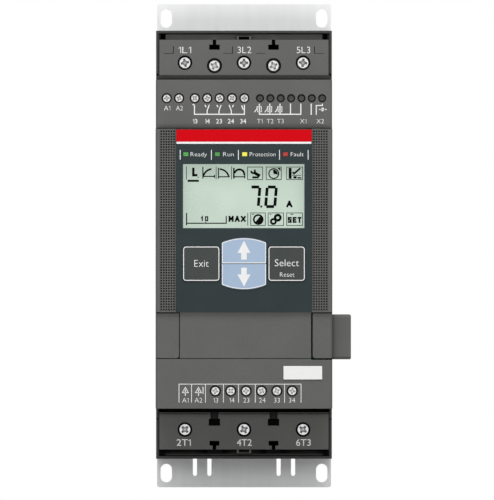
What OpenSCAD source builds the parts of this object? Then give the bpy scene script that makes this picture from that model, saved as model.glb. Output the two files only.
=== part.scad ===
// Three-phase soft starter for a control panel, an assembly of named sub-parts in millimetres.
// It is drawn as seen from the front: x to the right, y up, z from the panel to the viewer.
// upright() then stands it up: the panel is the plane Y = 0, +Z is up, the front faces -Y.

/* [Overall] */
// Width of the plastic body
body_w = 89; // [88:0.5:96]
// Height of the plastic body
body_h = 216.7; // [212:0.1:226]
// Depth from the panel to the tops of the keys
body_d = 187; // [184:1:200]
// How far the middle of the body lies above the middle of the plate
body_rise = 0.5; // [0:0.1:1.5]
// Thickness of the plastic walls
wall = 2; // [1.6:0.1:2.2]
// Radius of the long front edges
edge_r = 1.5; // [0.8:0.1:1.5]

/* [Mounting plate] */
// Width of the plate
plate_w = 88.9; // [87:0.1:96]
// Height of the plate
plate_h = 247; // [244:1:270]
// Thickness of the plate
plate_t = 2.5; // [2.2:0.1:4]
// Radius of the plate's corners
plate_corner = 1.2; // [0.5:0.1:3]
// Distance between the fixing slots, across
slot_pitch_x = 79.5; // [76:0.5:80]
// Distance between the fixing slots, up
slot_pitch_y = 232.5; // [231:0.5:235]
// Width of a fixing slot
slot_w = 5.8; // [5:0.1:6.4]
// Length of a fixing slot
slot_len = 9.4; // [7:0.2:9.6]
// Width of the narrow slots that free the two spring tongues
tongue_slot_w = 2.1; // [1.5:0.1:2.6]
// Length of the narrow slots
tongue_slot_len = 30; // [20:1:40]
// Width of a spring tongue
tongue_w = 5.3; // [4:0.1:7]
// Distance between the middles of the tongues
tongue_pitch = 42.8; // [36:0.2:48]

/* [Steps of the front] */
// Height of the line terminal zone at the top
line_zone = 25; // [24.5:0.1:27]
// Height of the load terminal zone at the bottom
load_zone = 25.8; // [25:0.1:27]
// Depth of the terminal covers
cover_d = 122; // [119:1:126]
// Depth of the control terminal cover
control_d = 152; // [148:1:156]
// Height of the control terminal cover
control_h = 24.5; // [23:0.5:26]
// Height of the keypad area
keypad_h = 92.3; // [90:0.1:95]
// How far the keypad area stands out from the label area
keypad_rise = 1.5; // [0.8:0.1:2]

/* [Power terminals] */
// Distance between the poles
pole_pitch = 29.9; // [29:0.1:30]
// Diameter of the clamp screws' heads
clamp_head_d = 6.4; // [6.2:0.1:6.8]
// Diameter of the clamp screws' threads
clamp_thread_d = 5.6; // [4.5:0.1:5.8]
// How far a clamp cage rises from open to shut
clamp_travel = 11; // [9:0.5:11.5]
// Width of the space for the conductor
clamp_in_w = 13; // [12.8:0.2:14]
// Width of a busbar
busbar_w = 12; // [10:0.5:12.4]
// Thickness of a busbar
busbar_t = 3; // [2:0.5:4]

/* [Control terminals] */
// Distance between the relay terminals
relay_pitch = 6.25; // [6:0.05:6.3]
// Distance between the signal terminals
signal_pitch = 5.23; // [5:0.01:5.25]
// Distance between the lower terminals
lower_pitch = 7.74; // [7.4:0.02:7.9]

/* [Keypad] */
// Width of the keypad foil and the red strip
foil_w = 68; // [66:0.5:69]
// Height of the red strip
strip_h = 6.1; // [5:0.1:7]
// Width of the display window
display_w = 60.7; // [54:0.1:62]
// Height of the display window
display_h = 31.8; // [28:0.1:32.4]
// Width of the outer keys
key_w = 18.3; // [15:0.1:18.6]
// Height of the outer keys
key_h = 17.3; // [14:0.1:20]
// Width of the arrow pad
pad_w = 22.3; // [18:0.1:23]
// Height of the arrow pad at its middle
pad_h = 25.6; // [23:0.1:27]
// Height of the arrow pad at its sides
pad_side_h = 21.1; // [18:0.1:22]
// How far a key is pressed
key_travel = 0.5; // [0.3:0.05:0.7]
// Width of the grip strips beside the foil
grip_w = 8.1; // [5:0.1:8.2]
// Depth of the grip strips' beds
grip_depth = 1.2; // [0.6:0.1:1.5]

/* [Cooling] */
// Number of fins of the heat sink
fins = 13; // [9:1:15]
// Depth of the fins
fin_d = 37.5; // [34:0.5:41]
// Size of a square fan
fan_size = 40; // [36:1:41]
// Thickness of a fan
fan_t = 20; // [12:1:20]

/* [Fits] */
// Gap between mouldings that meet
seam = 0.5; // [0.3:0.1:0.8]
// Play of pieces that are pushed into place
play = 0.2; // [0.1:0.05:0.3]
// Play of turning and threaded pieces, on the radius
run_play = 0.08; // [0.05:0.01:0.1]

/* [Hidden] */
$fn = 48;
eps = 0.01;
grey = [0.42, 0.42, 0.41];
dark_grey = [0.24, 0.24, 0.23];
black = [0.08, 0.08, 0.08];
zinc = [0.84, 0.85, 0.85];
steel = [0.65, 0.67, 0.67];
copper = [0.72, 0.45, 0.30];
board_green = [0.10, 0.35, 0.20];

// Edges of the body and of its zones, bottom to top
half_w = body_w / 2;
body_top = body_rise + body_h / 2;
body_bot = body_rise - body_h / 2;
front_top = body_top - line_zone;
front_bot = body_bot + load_zone;
control_bot = front_top - control_h;
keypad_top = control_bot - seam;
keypad_bot = keypad_top - keypad_h;

// Stack of the power terminals, from the cover to the panel
cover_t = 4;
head_sink = 1.5;
clamp_head_h = 4.5;
shelf_t = 3;
cage_roof_t = 4.5;
cage_floor_t = 3;
cage_gap = 0.5;
head_top = cover_d - head_sink;
head_z = head_top - clamp_head_h;
cover_seat = cover_d - cover_t;
shelf_z = head_z - shelf_t;
cage_top = shelf_z - cage_gap - clamp_travel;
busbar_top = cage_top - cage_roof_t - cage_gap;
busbar_z = busbar_top - busbar_t;
wire_h = clamp_travel + 1;
cage_bot = busbar_z - wire_h - cage_floor_t;
base_d = cage_bot - cage_gap - wall;
cage_w = clamp_in_w + 4;
cage_l = 10;
poles = [-pole_pitch, 0, pole_pitch];
line_in = 16.25;
load_in = 14.8;
line_y = body_top - line_in;
load_y = body_bot + load_in;
barrier_x = pole_pitch / 2;
barrier_w = 7.6;
rim = 1.3;

// Depths of the housings and boards
control_box = 20;
middle_d = control_d - control_box;
label_d = body_d - keypad_rise - 0.5;
keypad_d = body_d - 0.5;
front_in = label_d - wall;
foil_t = 0.4;
board_t = 1.6;
sink_base = 8;
sink_top = plate_t + fin_d + sink_base;
sink_w = body_w - 2 * wall - 5;
sink_top_y = front_top + 4;
sink_bot_y = body_bot + wall + fan_t + 1.5;
module_h = base_d - sink_top - 2;
power_board_z = busbar_top + 7.5;
control_board_z = front_in - 11;

// Rows of terminals and keys
control_in = 9.4;
lower_in = 8.9;
supply_start = -39;
relay_start = -24.8;
signal_start = 8.1;
lower_start = -14.4;
control_y = front_top - control_in;
supply_x = [for (i = [0, 1]) supply_start + i * relay_pitch];
relay_x = [for (i = [0:4]) relay_start + i * relay_pitch];
signal_x = [for (i = [0:6]) signal_start + i * signal_pitch];
lower_x = [for (i = [0:5]) lower_start + i * lower_pitch];
lower_y = front_bot + lower_in;
strip_in = 0.4;
foil_in = 0.1;
strip_top = keypad_top - strip_in;
foil_top = strip_top - strip_h;
foil_bot = keypad_bot + foil_in;
light_drop = 12.8;
display_drop = 33.9;
display_x = -0.15;
key_drop = 67.9;
light_y = keypad_top - light_drop;
light_x = [-29.25, -13.4, 0.35, 20.9];
light_w = 2.5;
light_h = 1.95;
display_y = keypad_top - display_drop;
key_y = keypad_top - key_drop;
key_x = 21.5;
key_r = 1.2;
key_gap = 0.3;
flange_t = 1.2;
flange_lip = 0.6;
cap_top = keypad_bot - 0.2;
cap_foot = 25.4;
cap_bot = front_bot + cap_foot;
cap_gap = 0.4;
port_gap = 0.8;
left_cap_x = -32.7;
right_cap_x = 34.6;
cap_d = 22;

// General shapes

module upright()
    rotate([90, 0, 0]) children();

// A box between two places on each axis
module span(x, y, z)
    translate([min(x), min(y), min(z)])
        cube([abs(x[1] - x[0]), abs(y[1] - y[0]), abs(z[1] - z[0])]);

module rounded_rect(w, h, r) {
    square([w - 2 * r, h], center = true);
    square([w, h - 2 * r], center = true);
    for (sx = [-1, 1], sy = [-1, 1])
        translate([sx * (w / 2 - r), sy * (h / 2 - r)]) circle(r);
}

// A slot with round ends, along y
module slot(w, len) {
    square([w, len - w], center = true);
    for (s = [-1, 1])
        translate([0, s * (len - w) / 2]) circle(d = w);
}

// A bar the width of the body with rounded long front edges
module body_bar(y, z, w = body_w) {
    rim_x = w / 2 - edge_r;
    translate([0, y[1], 0])
        rotate([90, 0, 0])
            linear_extrude(y[1] - y[0]) {
                translate([-w / 2, z[0]]) square([w, z[1] - z[0] - edge_r]);
                translate([-rim_x, z[0]]) square([2 * rim_x, z[1] - z[0]]);
                for (s = [-1, 1])
                    translate([s * rim_x, z[1] - edge_r]) circle(edge_r);
            }
}

// A cross recess with a finer cross between its arms
module cross_recess(d, depth) {
    for (a = [0, 90])
        rotate(a) translate([-d / 2, -d * 0.14, -depth]) cube([d, d * 0.28, depth + 1]);
    for (a = [45, 135])
        rotate(a) translate([-d * 0.34, -d * 0.05, -depth / 2]) cube([d * 0.68, d * 0.1, depth]);
}

// A screw with its head's top at z = 0: a cylinder head with a chamfered rim on a shank
module head_screw(head_d, head_h, shank_d, len, turn) {
    chamfer = head_d * 0.08;
    difference() {
        union() {
            translate([0, 0, -head_h]) cylinder(d = head_d, h = head_h - chamfer);
            translate([0, 0, -chamfer]) cylinder(d1 = head_d, d2 = head_d - 2 * chamfer, h = chamfer);
            translate([0, 0, -len]) cylinder(d = shank_d, h = len - head_h + eps);
        }
        rotate(turn) cross_recess(head_d * 0.66, head_h * 0.45);
    }
}

// Plate, heat sink and base

plate_screw_d = 4;
plate_head_d = 7.6;
plate_screw_len = 9;
plate_screw_y = 52;
tongue_in = 5.8;
sink_screw_x = sink_w / 2 - 3;
boss_x = half_w - wall - 3.2;
boss_y = body_top - wall - 3.2;
plate_screw_at = concat(
    [for (x = [-1, 1], y = [-1, 1]) [x * sink_screw_x, y * plate_screw_y]],
    [for (x = [-1, 1]) [x * boss_x, boss_y]]
);

module mounting_plate()
    color(zinc) difference() {
        linear_extrude(plate_t) difference() {
            rounded_rect(plate_w, plate_h, plate_corner);
            for (sx = [-1, 1], sy = [-1, 1])
                translate([sx * slot_pitch_x / 2, sy * slot_pitch_y / 2]) slot(slot_w, slot_len);
            for (sx = [-1, 1], s = [-1, 1])
                translate([sx * tongue_pitch / 2 + s * (tongue_w + tongue_slot_w) / 2,
                           -plate_h / 2 + tongue_in + tongue_slot_len / 2])
                    slot(tongue_slot_w, tongue_slot_len);
        }
        for (p = plate_screw_at)
            translate([p[0], p[1], -eps]) {
                cylinder(d = plate_screw_d + 2 * play, h = plate_t + 1);
                cylinder(d1 = plate_head_d + 2 * play, d2 = plate_screw_d + 2 * play,
                         h = (plate_head_d - plate_screw_d) / 2);
            }
    }

module plate_screws()
    color(steel) for (p = plate_screw_at)
        translate([p[0], p[1], 0]) difference() {
            union() {
                cylinder(d = plate_screw_d, h = plate_screw_len);
                cylinder(d1 = plate_head_d, d2 = plate_screw_d, h = (plate_head_d - plate_screw_d) / 2);
            }
            mirror([0, 0, 1]) cross_recess(plate_head_d * 0.6, 1.4);
        }

module heat_sink() {
    outer_fin = 6;
    fin_t = 1.6;
    inner_w = sink_w - 2 * outer_fin;
    color([0.75, 0.76, 0.77]) difference() {
        translate([0, sink_top_y, 0]) rotate([90, 0, 0])
            linear_extrude(sink_top_y - sink_bot_y) {
                translate([-sink_w / 2, plate_t + fin_d]) square([sink_w, sink_base]);
                for (s = [-1, 1])
                    translate([s * (sink_w - outer_fin) / 2 - outer_fin / 2, plate_t])
                        square([outer_fin, fin_d + eps]);
                for (i = [1:fins])
                    translate([-inner_w / 2 + i * inner_w / (fins + 1) - fin_t / 2, plate_t])
                        square([fin_t, fin_d + eps]);
            }
        for (p = plate_screw_at)
            if (abs(p[1]) <= plate_screw_y)
                translate([p[0], p[1], plate_t - eps])
                    cylinder(d = plate_screw_d + 2 * run_play, h = plate_screw_len);
        for (x = [-1, 1], y = [-1, 1])
            translate([x * module_x, body_rise + y * module_screw_y, sink_top - module_bolt_len])
                cylinder(d = module_bolt_d + 2 * run_play, h = module_bolt_len + 1);
    }
}

// Open tube behind the terminals, with vents in both ends and in its sides
module base_housing() {
    vent_w = 3;
    vent_pitch = 5.6;
    side_vents = 7;
    color(grey) difference() {
        union() {
            difference() {
                span([-half_w, half_w], [body_bot, body_top], [plate_t, base_d]);
                span([-half_w + wall, half_w - wall], [body_bot + wall, body_top - wall],
                     [plate_t - 1, base_d + 1]);
            }
            for (s = [-1, 1])
                translate([s * boss_x, boss_y, plate_t]) cylinder(r = 4, h = 16);
        }
        for (s = [-1, 1])
            translate([s * boss_x, boss_y, plate_t - eps])
                cylinder(d = plate_screw_d + 2 * run_play, h = plate_screw_len);
        for (i = [-6:6], y = [body_top - wall / 2, body_bot + wall / 2])
            span([i * vent_pitch - vent_w / 2, i * vent_pitch + vent_w / 2],
                 [y - wall, y + wall], [plate_t + 4, sink_top - 6]);
        for (i = [0:side_vents - 1], s = [-1, 1], x = [-1, 1]) {
            y = body_rise + s * (52 + i * vent_pitch);
            span([x * half_w - wall - 1, x * half_w + wall + 1], [y - 1.2, y + 1.2],
                 [sink_top + 3, base_d - 5]);
        }
    }
}

// Fans under the heat sink; the axis is along y, and the local origin is the fan's middle

fan_x = fan_size / 2 + 0.4;
fan_y = body_bot + wall + fan_t / 2;
fan_z = plate_t + 0.3 + fan_size / 2;
fan_duct_r = fan_size / 2 - 1.2;
hub_r = fan_size * 0.24;
bearing_r = 1.5;

module in_fan(s)
    translate([s * fan_x, fan_y, fan_z]) rotate([-90, 0, 0]) children();

// Each frame has three arms at its inner end, which carry the rotor's bearing
module fan_frames()
    color(black) for (s = [-1, 1]) in_fan(s) {
        hub_t = 2.4;
        arm_t = 1.8;
        arm_w = 2.2;
        hole_at = fan_size * 0.4;
        fan_hole_d = 3.2;
        difference() {
            union() {
                difference() {
                    translate([-fan_size / 2, -fan_size / 2, -fan_t / 2])
                        cube([fan_size, fan_size, fan_t]);
                    translate([0, 0, -fan_t / 2 - 1]) cylinder(r = fan_duct_r, h = fan_t + 2);
                    for (x = [-1, 1], y = [-1, 1])
                        translate([x * hole_at, y * hole_at, -fan_t / 2 - 1])
                            cylinder(d = fan_hole_d, h = fan_t + 2);
                }
                translate([0, 0, fan_t / 2 - hub_t]) cylinder(r = hub_r, h = hub_t);
                for (a = [15:120:255])
                    rotate(a) translate([hub_r - 1, -arm_w / 2, fan_t / 2 - arm_t - 0.3])
                        cube([fan_duct_r - hub_r + 1.5, arm_w, arm_t]);
            }
            translate([0, 0, fan_t / 2 - hub_t - 1]) cylinder(r = bearing_r + run_play, h = hub_t + 2);
        }
    }

module fan_rotor(s)
    color(dark_grey) in_fan(s) {
        blades = 7;
        blade_h = fan_t - 6;
        low = -fan_t / 2 + 1.5;
        translate([0, 0, low]) cylinder(r = hub_r, h = blade_h);
        translate([0, 0, low]) cylinder(r = bearing_r, h = fan_t - 2);
        intersection() {
            translate([0, 0, low]) difference() {
                cylinder(r = fan_duct_r - 0.6, h = blade_h);
                translate([0, 0, -1]) cylinder(r = hub_r - 0.8, h = blade_h + 2);
            }
            union() for (i = [0:blades - 1])
                rotate(i * 360 / blades) translate([0, 0, low + blade_h / 2]) rotate([38, 0, 0])
                    translate([0, -fan_t, -0.6]) cube([fan_size / 2, 2 * fan_t, 1.2]);
        }
    }

// Power section

module_x = body_w * 0.27;
module_w = 30;
module_l = 88;
module_screw_y = 39.5;
module_bolt_d = 5;
module_bolt_len = 6;
module_foot_h = 8;
module_foot_l = 10;

// Two thyristor pairs on the heat sink, for the outer phases
module thyristor_modules()
    color(dark_grey) for (s = [-1, 1]) difference() {
        union() {
            span([s * module_x - module_w / 2, s * module_x + module_w / 2],
                 [body_rise - module_l / 2, body_rise + module_l / 2],
                 [sink_top, sink_top + module_foot_h]);
            span([s * module_x - module_w / 2, s * module_x + module_w / 2],
                 [body_rise - module_l / 2 + module_foot_l, body_rise + module_l / 2 - module_foot_l],
                 [sink_top, sink_top + module_h]);
        }
        for (y = [-1, 1])
            translate([s * module_x, body_rise + y * module_screw_y, sink_top - 1])
                cylinder(d = module_bolt_d + 2 * play, h = module_foot_h + 2);
    }

module module_screws()
    color(steel) for (x = [-1, 1], y = [-1, 1])
        translate([x * module_x, body_rise + y * module_screw_y, sink_top + module_foot_h + 3.5])
            head_screw(8, 3.5, module_bolt_d, module_foot_h + 3.5 + module_bolt_len - 0.5, 20);

// A busbar of an outer phase on the line side: from its clamp back to its thyristor module
module phase_busbar(x) {
    z_low = sink_top + module_h;
    run_end = body_rise + module_l / 2 - 16;
    step_top = front_top - 17;
    step_bot = step_top - 16;
    lean = 0.5 * busbar_t;
    translate([x - busbar_w / 2, 0, 0]) rotate([90, 0, 90])
        linear_extrude(busbar_w) polygon([
            [line_y + cage_l / 2 + 2, busbar_z], [line_y + cage_l / 2 + 2, busbar_top],
            [step_top - lean, busbar_top], [step_bot - lean, z_low + busbar_t],
            [run_end, z_low + busbar_t],
            [run_end, z_low], [step_bot + lean, z_low], [step_top + lean, busbar_z]]);
}

module phase_busbars()
    color(copper) for (x = [-pole_pitch, pole_pitch]) {
        phase_busbar(x);
        translate([0, 2 * body_rise, 0]) mirror([0, 1, 0]) phase_busbar(x);
    }

// The middle phase goes straight through
module through_busbar()
    color(copper)
        span([-busbar_w / 2, busbar_w / 2], [load_y - cage_l / 2 - 2, line_y + cage_l / 2 + 2],
             [busbar_z, busbar_top]);

relay_w = 26;
relay_l = 36;

module bypass_relays()
    color(black) for (s = [-1, 1])
        span([s * module_x - relay_w / 2, s * module_x + relay_w / 2],
             [body_rise - relay_l / 2, body_rise + relay_l / 2],
             [sink_top + module_h + busbar_t + 1.5, power_board_z]);

ct_h = 2 * (power_board_z - busbar_z - busbar_t / 2);

ct_gap = 1.6;
ct_w = 2 * (half_w - wall - pole_pitch - ct_gap);
ct_l = 12;

module current_transformers()
    color([0.15, 0.2, 0.45]) for (x = poles) difference() {
        span([x - ct_w / 2, x + ct_w / 2], [front_bot + wall + play, front_bot + wall + ct_l],
             [power_board_z - ct_h, power_board_z]);
        span([x - busbar_w / 2 - play, x + busbar_w / 2 + play], [front_bot, front_bot + wall + ct_l + 1],
             [busbar_z - play, busbar_top + play]);
    }

// A potted power supply and three capacitors stand on the power board
supply_w = 48;
supply_l = 18;
supply_h = 12.4;
supply_y = body_rise + 22;
can_d = 12;
can_h = 16;
can_pitch = 20;
can_y = body_rise - 34;

module power_board()
    color(board_green) union() {
        span([-half_w + wall + 0.5, half_w - wall - 0.5], [front_bot + wall + play, control_bot],
             [power_board_z, power_board_z + board_t]);
        span([-supply_w / 2, supply_w / 2], [supply_y, supply_y + supply_l],
             [power_board_z + board_t, power_board_z + board_t + supply_h]);
        for (i = [-1:1])
            translate([i * can_pitch, can_y, power_board_z + board_t]) cylinder(d = can_d, h = can_h);
    }

// Power terminals. terminal_block() is drawn for the top end; the load block is its mirror image

// The T-shaped slot for a phase barrier: a crossbar, and a stem that runs out to the end
module barrier_slot(bar, stem, out, z) {
    for (s = [-1, 1]) {
        span([s * barrier_x - bar[0] / 2, s * barrier_x + bar[0] / 2], [bar[1], bar[2]], z);
        span([s * barrier_x - stem / 2, s * barrier_x + stem / 2], [(bar[1] + bar[2]) / 2, out], z);
    }
}

// Open corners beside the step, where the cover's hooks go in
module corner_pockets(y, z)
    for (s = [-1, 1])
        span([s * (pocket_x - pocket_w), s * pocket_x], y, z);

// A notch in both rims marks where the cover lifts out
module terminal_block(end, inner, screw_y, notch) {
    in_y = inner + wall;
    out_y = end - rim;
    side = half_w - rim;
    difference() {
        body_bar([inner, end], [base_d, cover_d]);
        span([-side, side], [in_y - 0.4, out_y], [cover_seat, cover_d + 1]);
        for (x = poles) {
            x0 = x < 0 ? -side : x == 0 ? -barrier_x + barrier_w / 2 : barrier_x + barrier_w / 2;
            x1 = x > 0 ? side : x == 0 ? barrier_x - barrier_w / 2 : -barrier_x - barrier_w / 2;
            span([x0, x1], [in_y, out_y], [base_d + wall, shelf_z]);
            span([x - clamp_in_w / 2 - 0.5, x + clamp_in_w / 2 + 0.5], [out_y - 1, end + 1],
                 [cage_bot + cage_floor_t - 0.5, busbar_z]);
            span([x - busbar_w / 2 - play, x + busbar_w / 2 + play], [inner - 1, in_y + 1],
                 [busbar_z - play, busbar_top + play]);
            translate([x, screw_y, shelf_z - 1])
                cylinder(d = clamp_thread_d + 2 * run_play, h = shelf_t + 2);
            translate([x, screw_y, head_z]) cylinder(d = clamp_head_d + 1, h = cover_d);
        }
        for (s = [-1, 1])
            span([s * (side + 0.2), s * (half_w + 1)], [inner + notch[0], inner + notch[1]],
                 [cover_seat + 1, cover_d + 1]);
        corner_pockets([out_y - pocket_h, out_y], [shelf_z - 1, cover_d]);
        span([-tab_w / 2, tab_w / 2], [out_y - 3.4, out_y - 1.8], [shelf_z + 1, cover_d]);
    }
}

step_drop = 2.6;
line_notch = [1.55, 2.85];
load_notch = [4.8, 5.5];
trench_z = shelf_z - 1;
end_trench_z = shelf_z - 11;
ledge_w = 0.9;
ledge_gap = 0.35;
line_slot_bar = [5.3, line_y + 6.6, line_y + 9.15];
line_slot_stem = 1.7;
line_face_top = body_top - 4.6;
cover_screw_y = line_y - 1.5;
cover_screw_d = 4;
cover_head_d = 6.1;
load_slot_bar = [4.9, load_y - 5.75, load_y - 8.1];
load_slot_stem = 1.8;
load_face_bot = body_bot + 4.7;
latch_w = 5.7;
latch_stem = 4;
load_cover_top = front_bot - seam - wall + 0.4 - play;
latch_depth = 15;
cover_play = 0.35;
pocket_x = half_w - rim - 0.8;
pocket_w = 2.7;
pocket_h = 3.25;
ledge_x = pocket_x - pocket_w;
tab_w = 5.4;
tab_l = 1.95;
score_w = 0.4;
score_depth = 0.6;
score_y = line_y + 4.6;
score_h = 3.7;
score_l = 4.6;
score_x = [[-pole_pitch - 5.8, -1], [-5.8, -1], [pole_pitch + 5.8, 1]];
lip_w = 0.5;
groove_w = 0.4;

module line_terminal_block()
    color(dark_grey) difference() {
        terminal_block(body_top, front_top + seam, line_y, line_notch);
        barrier_slot(line_slot_bar, line_slot_stem, line_face_top, [cage_bot, cover_d]);
        span([-ledge_x, ledge_x], [body_top - rim - seam, body_top - rim], [trench_z, cover_d + 1]);
        for (s = [-1, 1])
            translate([s * barrier_x, cover_screw_y, cover_seat - 12])
                cylinder(d = cover_screw_d + 2 * run_play, h = 14);
    }

module load_terminal_block()
    color(dark_grey) {
        difference() {
            mirror([0, 1, 0]) terminal_block(-body_bot, -front_bot + seam, -load_y, load_notch);
            barrier_slot(load_slot_bar, load_slot_stem, load_face_bot, [cage_bot, cover_d]);
            latch_windows([cover_d - latch_depth, cover_d]);
            load_trenches();
        }
        span([-ledge_x, ledge_x], [body_bot + rim + ledge_gap, body_bot + rim + ledge_gap + ledge_w],
             [cover_seat - 1, cover_d - step_drop]);
    }

// Deep gaps at both edges of the load cover: under the front housing, and along the lower rim
module load_trenches() {
    side = half_w - rim;
    span([-side, side], [front_bot - seam - wall + 0.4, front_bot], [end_trench_z, cover_d + 1]);
    span([-ledge_x, ledge_x], [body_bot + rim + ledge_gap + ledge_w, load_face_bot - play],
         [trench_z, cover_d + 1]);
}

// Latch windows of the load cover, between the poles and next to the front housing
module latch_windows(z)
    for (s = [-1, 1])
        span([s * barrier_x - latch_w / 2, s * barrier_x + latch_w / 2], [load_y + 2, load_y + 5.4], z);

// A terminal cover: a face with a step along its outer edge, between the rims of its block
module cover_plate(inner, face_end, step_end, screw_y) {
    side = half_w - rim - cover_play;
    tab_side = tab_w / 2 + 0.9;
    difference() {
        union() {
            span([-side, side], [inner + wall - 0.4 + play, face_end], [cover_seat, cover_d]);
            span([-side, side], [face_end - 1, step_end], [cover_seat, cover_d - step_drop]);
            span([-tab_side, tab_side], [face_end - 1, face_end + tab_l], [cover_seat, cover_d - 1.2]);
        }
        for (x = poles)
            translate([x, screw_y, cover_seat - 1]) cylinder(d = clamp_head_d + 1, h = cover_t + 2);
        corner_pockets([face_end + eps, face_end + line_zone], [cover_seat - 1, cover_d]);
        span([-tab_w / 2, tab_w / 2], [face_end, face_end + 1.6], [cover_seat - 1, cover_d]);
    }
}

module line_terminal_cover()
    color(grey) difference() {
        cover_plate(front_top + seam, line_face_top, body_top - rim - seam, line_y);
        barrier_slot(line_slot_bar, line_slot_stem, line_face_top + eps, [cover_seat - 1, cover_d + 1]);
        for (s = [-1, 1])
            translate([s * barrier_x, cover_screw_y, 0]) {
                translate([0, 0, cover_seat - 1]) cylinder(d = cover_screw_d + 2 * play, h = cover_t + 2);
                translate([0, 0, cover_seat + 1.4]) cylinder(d = cover_head_d + 1.6, h = cover_t);
            }
        score_marks();
    }

// Fine L-shaped scores beside the numbers, and a straight one right of the middle pole
module score_marks() {
    z = [cover_d - score_depth, cover_d + 1];
    for (m = score_x) {
        span([m[0] - score_w / 2, m[0] + score_w / 2], [score_y, score_y + score_h], z);
        span([m[0] + m[1] * score_w / 2, m[0] + m[1] * score_l], [score_y, score_y + score_w / 2], z);
    }
    span([6.2, 6.2 + score_l], [score_y, score_y + score_w / 2], z);
}

module line_cover_screws()
    color(steel) for (s = [-1, 1])
        translate([s * barrier_x, cover_screw_y, cover_d - 0.6])
            head_screw(cover_head_d, 2, cover_screw_d, 14, s * 25);

module load_terminal_cover()
    color(grey) difference() {
        mirror([0, 1, 0]) cover_plate(-front_bot + seam, -load_face_bot, -load_face_bot, -load_y);
        barrier_slot(load_slot_bar, load_slot_stem, load_face_bot - eps, [cover_seat - 1, cover_d + 1]);
        latch_windows([cover_seat - 1, cover_d + 1]);
        for (s = [-1, 1])
            span([s * barrier_x - latch_stem / 2, s * barrier_x + latch_stem / 2],
                 [load_y + 5, front_bot], [cover_seat - 1, cover_d + 1]);
        span([-half_w, half_w], [load_cover_top - lip_w - groove_w, load_cover_top - lip_w],
             [cover_d - score_depth, cover_d + 1]);
    }

// A rising cage: the screw turns in place and draws the cage up, pressing the wire to the busbar
module clamp(x, y)
    color(zinc) difference() {
        span([x - cage_w / 2, x + cage_w / 2], [y - cage_l / 2, y + cage_l / 2], [cage_bot, cage_top]);
        span([x - clamp_in_w / 2, x + clamp_in_w / 2], [y - cage_l, y + cage_l],
             [cage_bot + cage_floor_t, cage_top - cage_roof_t]);
        translate([x, y, cage_top - cage_roof_t - 1])
            cylinder(d = clamp_thread_d + 2 * run_play, h = cage_roof_t + 2);
        for (i = [-1:1])
            span([x - clamp_in_w / 2, x + clamp_in_w / 2], [y + i * 3 - 0.5, y + i * 3 + 0.5],
                 [cage_bot + cage_floor_t - 0.6, cage_top - cage_roof_t]);
    }

module clamp_screw(x, y, turn)
    color(steel) translate([x, y, head_top])
        head_screw(clamp_head_d, clamp_head_h, clamp_thread_d, head_top - busbar_top - run_play, turn);

// Middle housing: a tube between the terminal blocks, with a floor under the control terminals
module middle_housing()
    color(grey) difference() {
        union() {
            difference() {
                span([-half_w, half_w], [front_bot, front_top], [base_d, middle_d]);
                span([-half_w + wall, half_w - wall], [front_bot + wall, front_top - wall],
                     [base_d - 1, middle_d + 1]);
            }
            span([-half_w + 1, half_w - 1], [control_bot, front_top - 1], [middle_d - wall, middle_d]);
            for (s = [-1, 1])
                span([s * (half_w - wall - 2) - 2.5, s * (half_w - wall - 2) + 2.5],
                     [front_bot + 14, control_bot - 2], [power_board_z - 3, power_board_z]);
        }
        for (x = poles, y = [front_bot, front_top])
            span([x - busbar_w / 2 - 1, x + busbar_w / 2 + 1], [y - wall - 1, y + wall + 1],
                 [busbar_z - 1, busbar_top + 1]);
        for (i = [0:8], s = [-1, 1], x = [-1, 1]) {
            y = body_rise + s * (18 + i * 5.6);
            span([x * half_w - wall - 1, x * half_w + wall + 1], [y - 1.2, y + 1.2],
                 [power_board_z + 4, middle_d - 5]);
        }
    }

// Control terminals at the top

bright_hole_r = 2.6;
bright_head_d = 4.2;
dark_hole_r = 2.1;
dark_head_d = 3.2;
small_shank_d = 2.6;
small_screw_len = 12;
lower_head_d = 4.6;
lower_block_z = front_in - 16;
lower_block_h = 18;
well_play = 0.6;
block_bot = control_bot + wall + 0.5;
block_out = front_top - play;
block_top = control_d - wall - 0.1;
wire_hole_d = 3.4;

module terminal_body(xs, well_d, y, out, z) {
    in_dir = out > y ? -1 : 1;
    difference() {
        children();
        for (x = xs) {
            translate([x, y, z[1] - 2]) cylinder(d = well_d, h = 4);
            translate([x, y, z[0] + 3]) cylinder(d = small_shank_d + 2 * run_play, h = z[1] - z[0]);
            translate([x, out - in_dir, z[0] + 7])
                rotate([-in_dir * 90, 0, 0]) cylinder(d = wire_hole_d, h = 9);
        }
    }
}

module relay_terminal_block()
    color(dark_grey) for (xs = [supply_x, relay_x])
        terminal_body(xs, bright_head_d + well_play, control_y, block_out, [middle_d, block_top])
            span([xs[0] - relay_pitch / 2, xs[len(xs) - 1] + relay_pitch / 2], [block_bot, block_out],
                 [middle_d, block_top]);

module signal_terminal_block()
    color(dark_grey)
        terminal_body(signal_x, dark_head_d + well_play, control_y, block_out, [middle_d, block_top])
            span([signal_x[0] - signal_pitch / 2, signal_x[6] + signal_pitch / 2], [block_bot, block_out],
                 [middle_d, block_top]);

module relay_terminal_screws()
    color(steel) for (x = concat(supply_x, relay_x))
        translate([x, control_y, control_d - 0.7])
            head_screw(bright_head_d, 2.6, small_shank_d, small_screw_len, x * 9);

module signal_terminal_screws()
    color(black) for (x = signal_x)
        translate([x, control_y, control_d - 2.2])
            head_screw(dark_head_d, 1.6, small_shank_d - 0.4, 10, 45);

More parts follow.
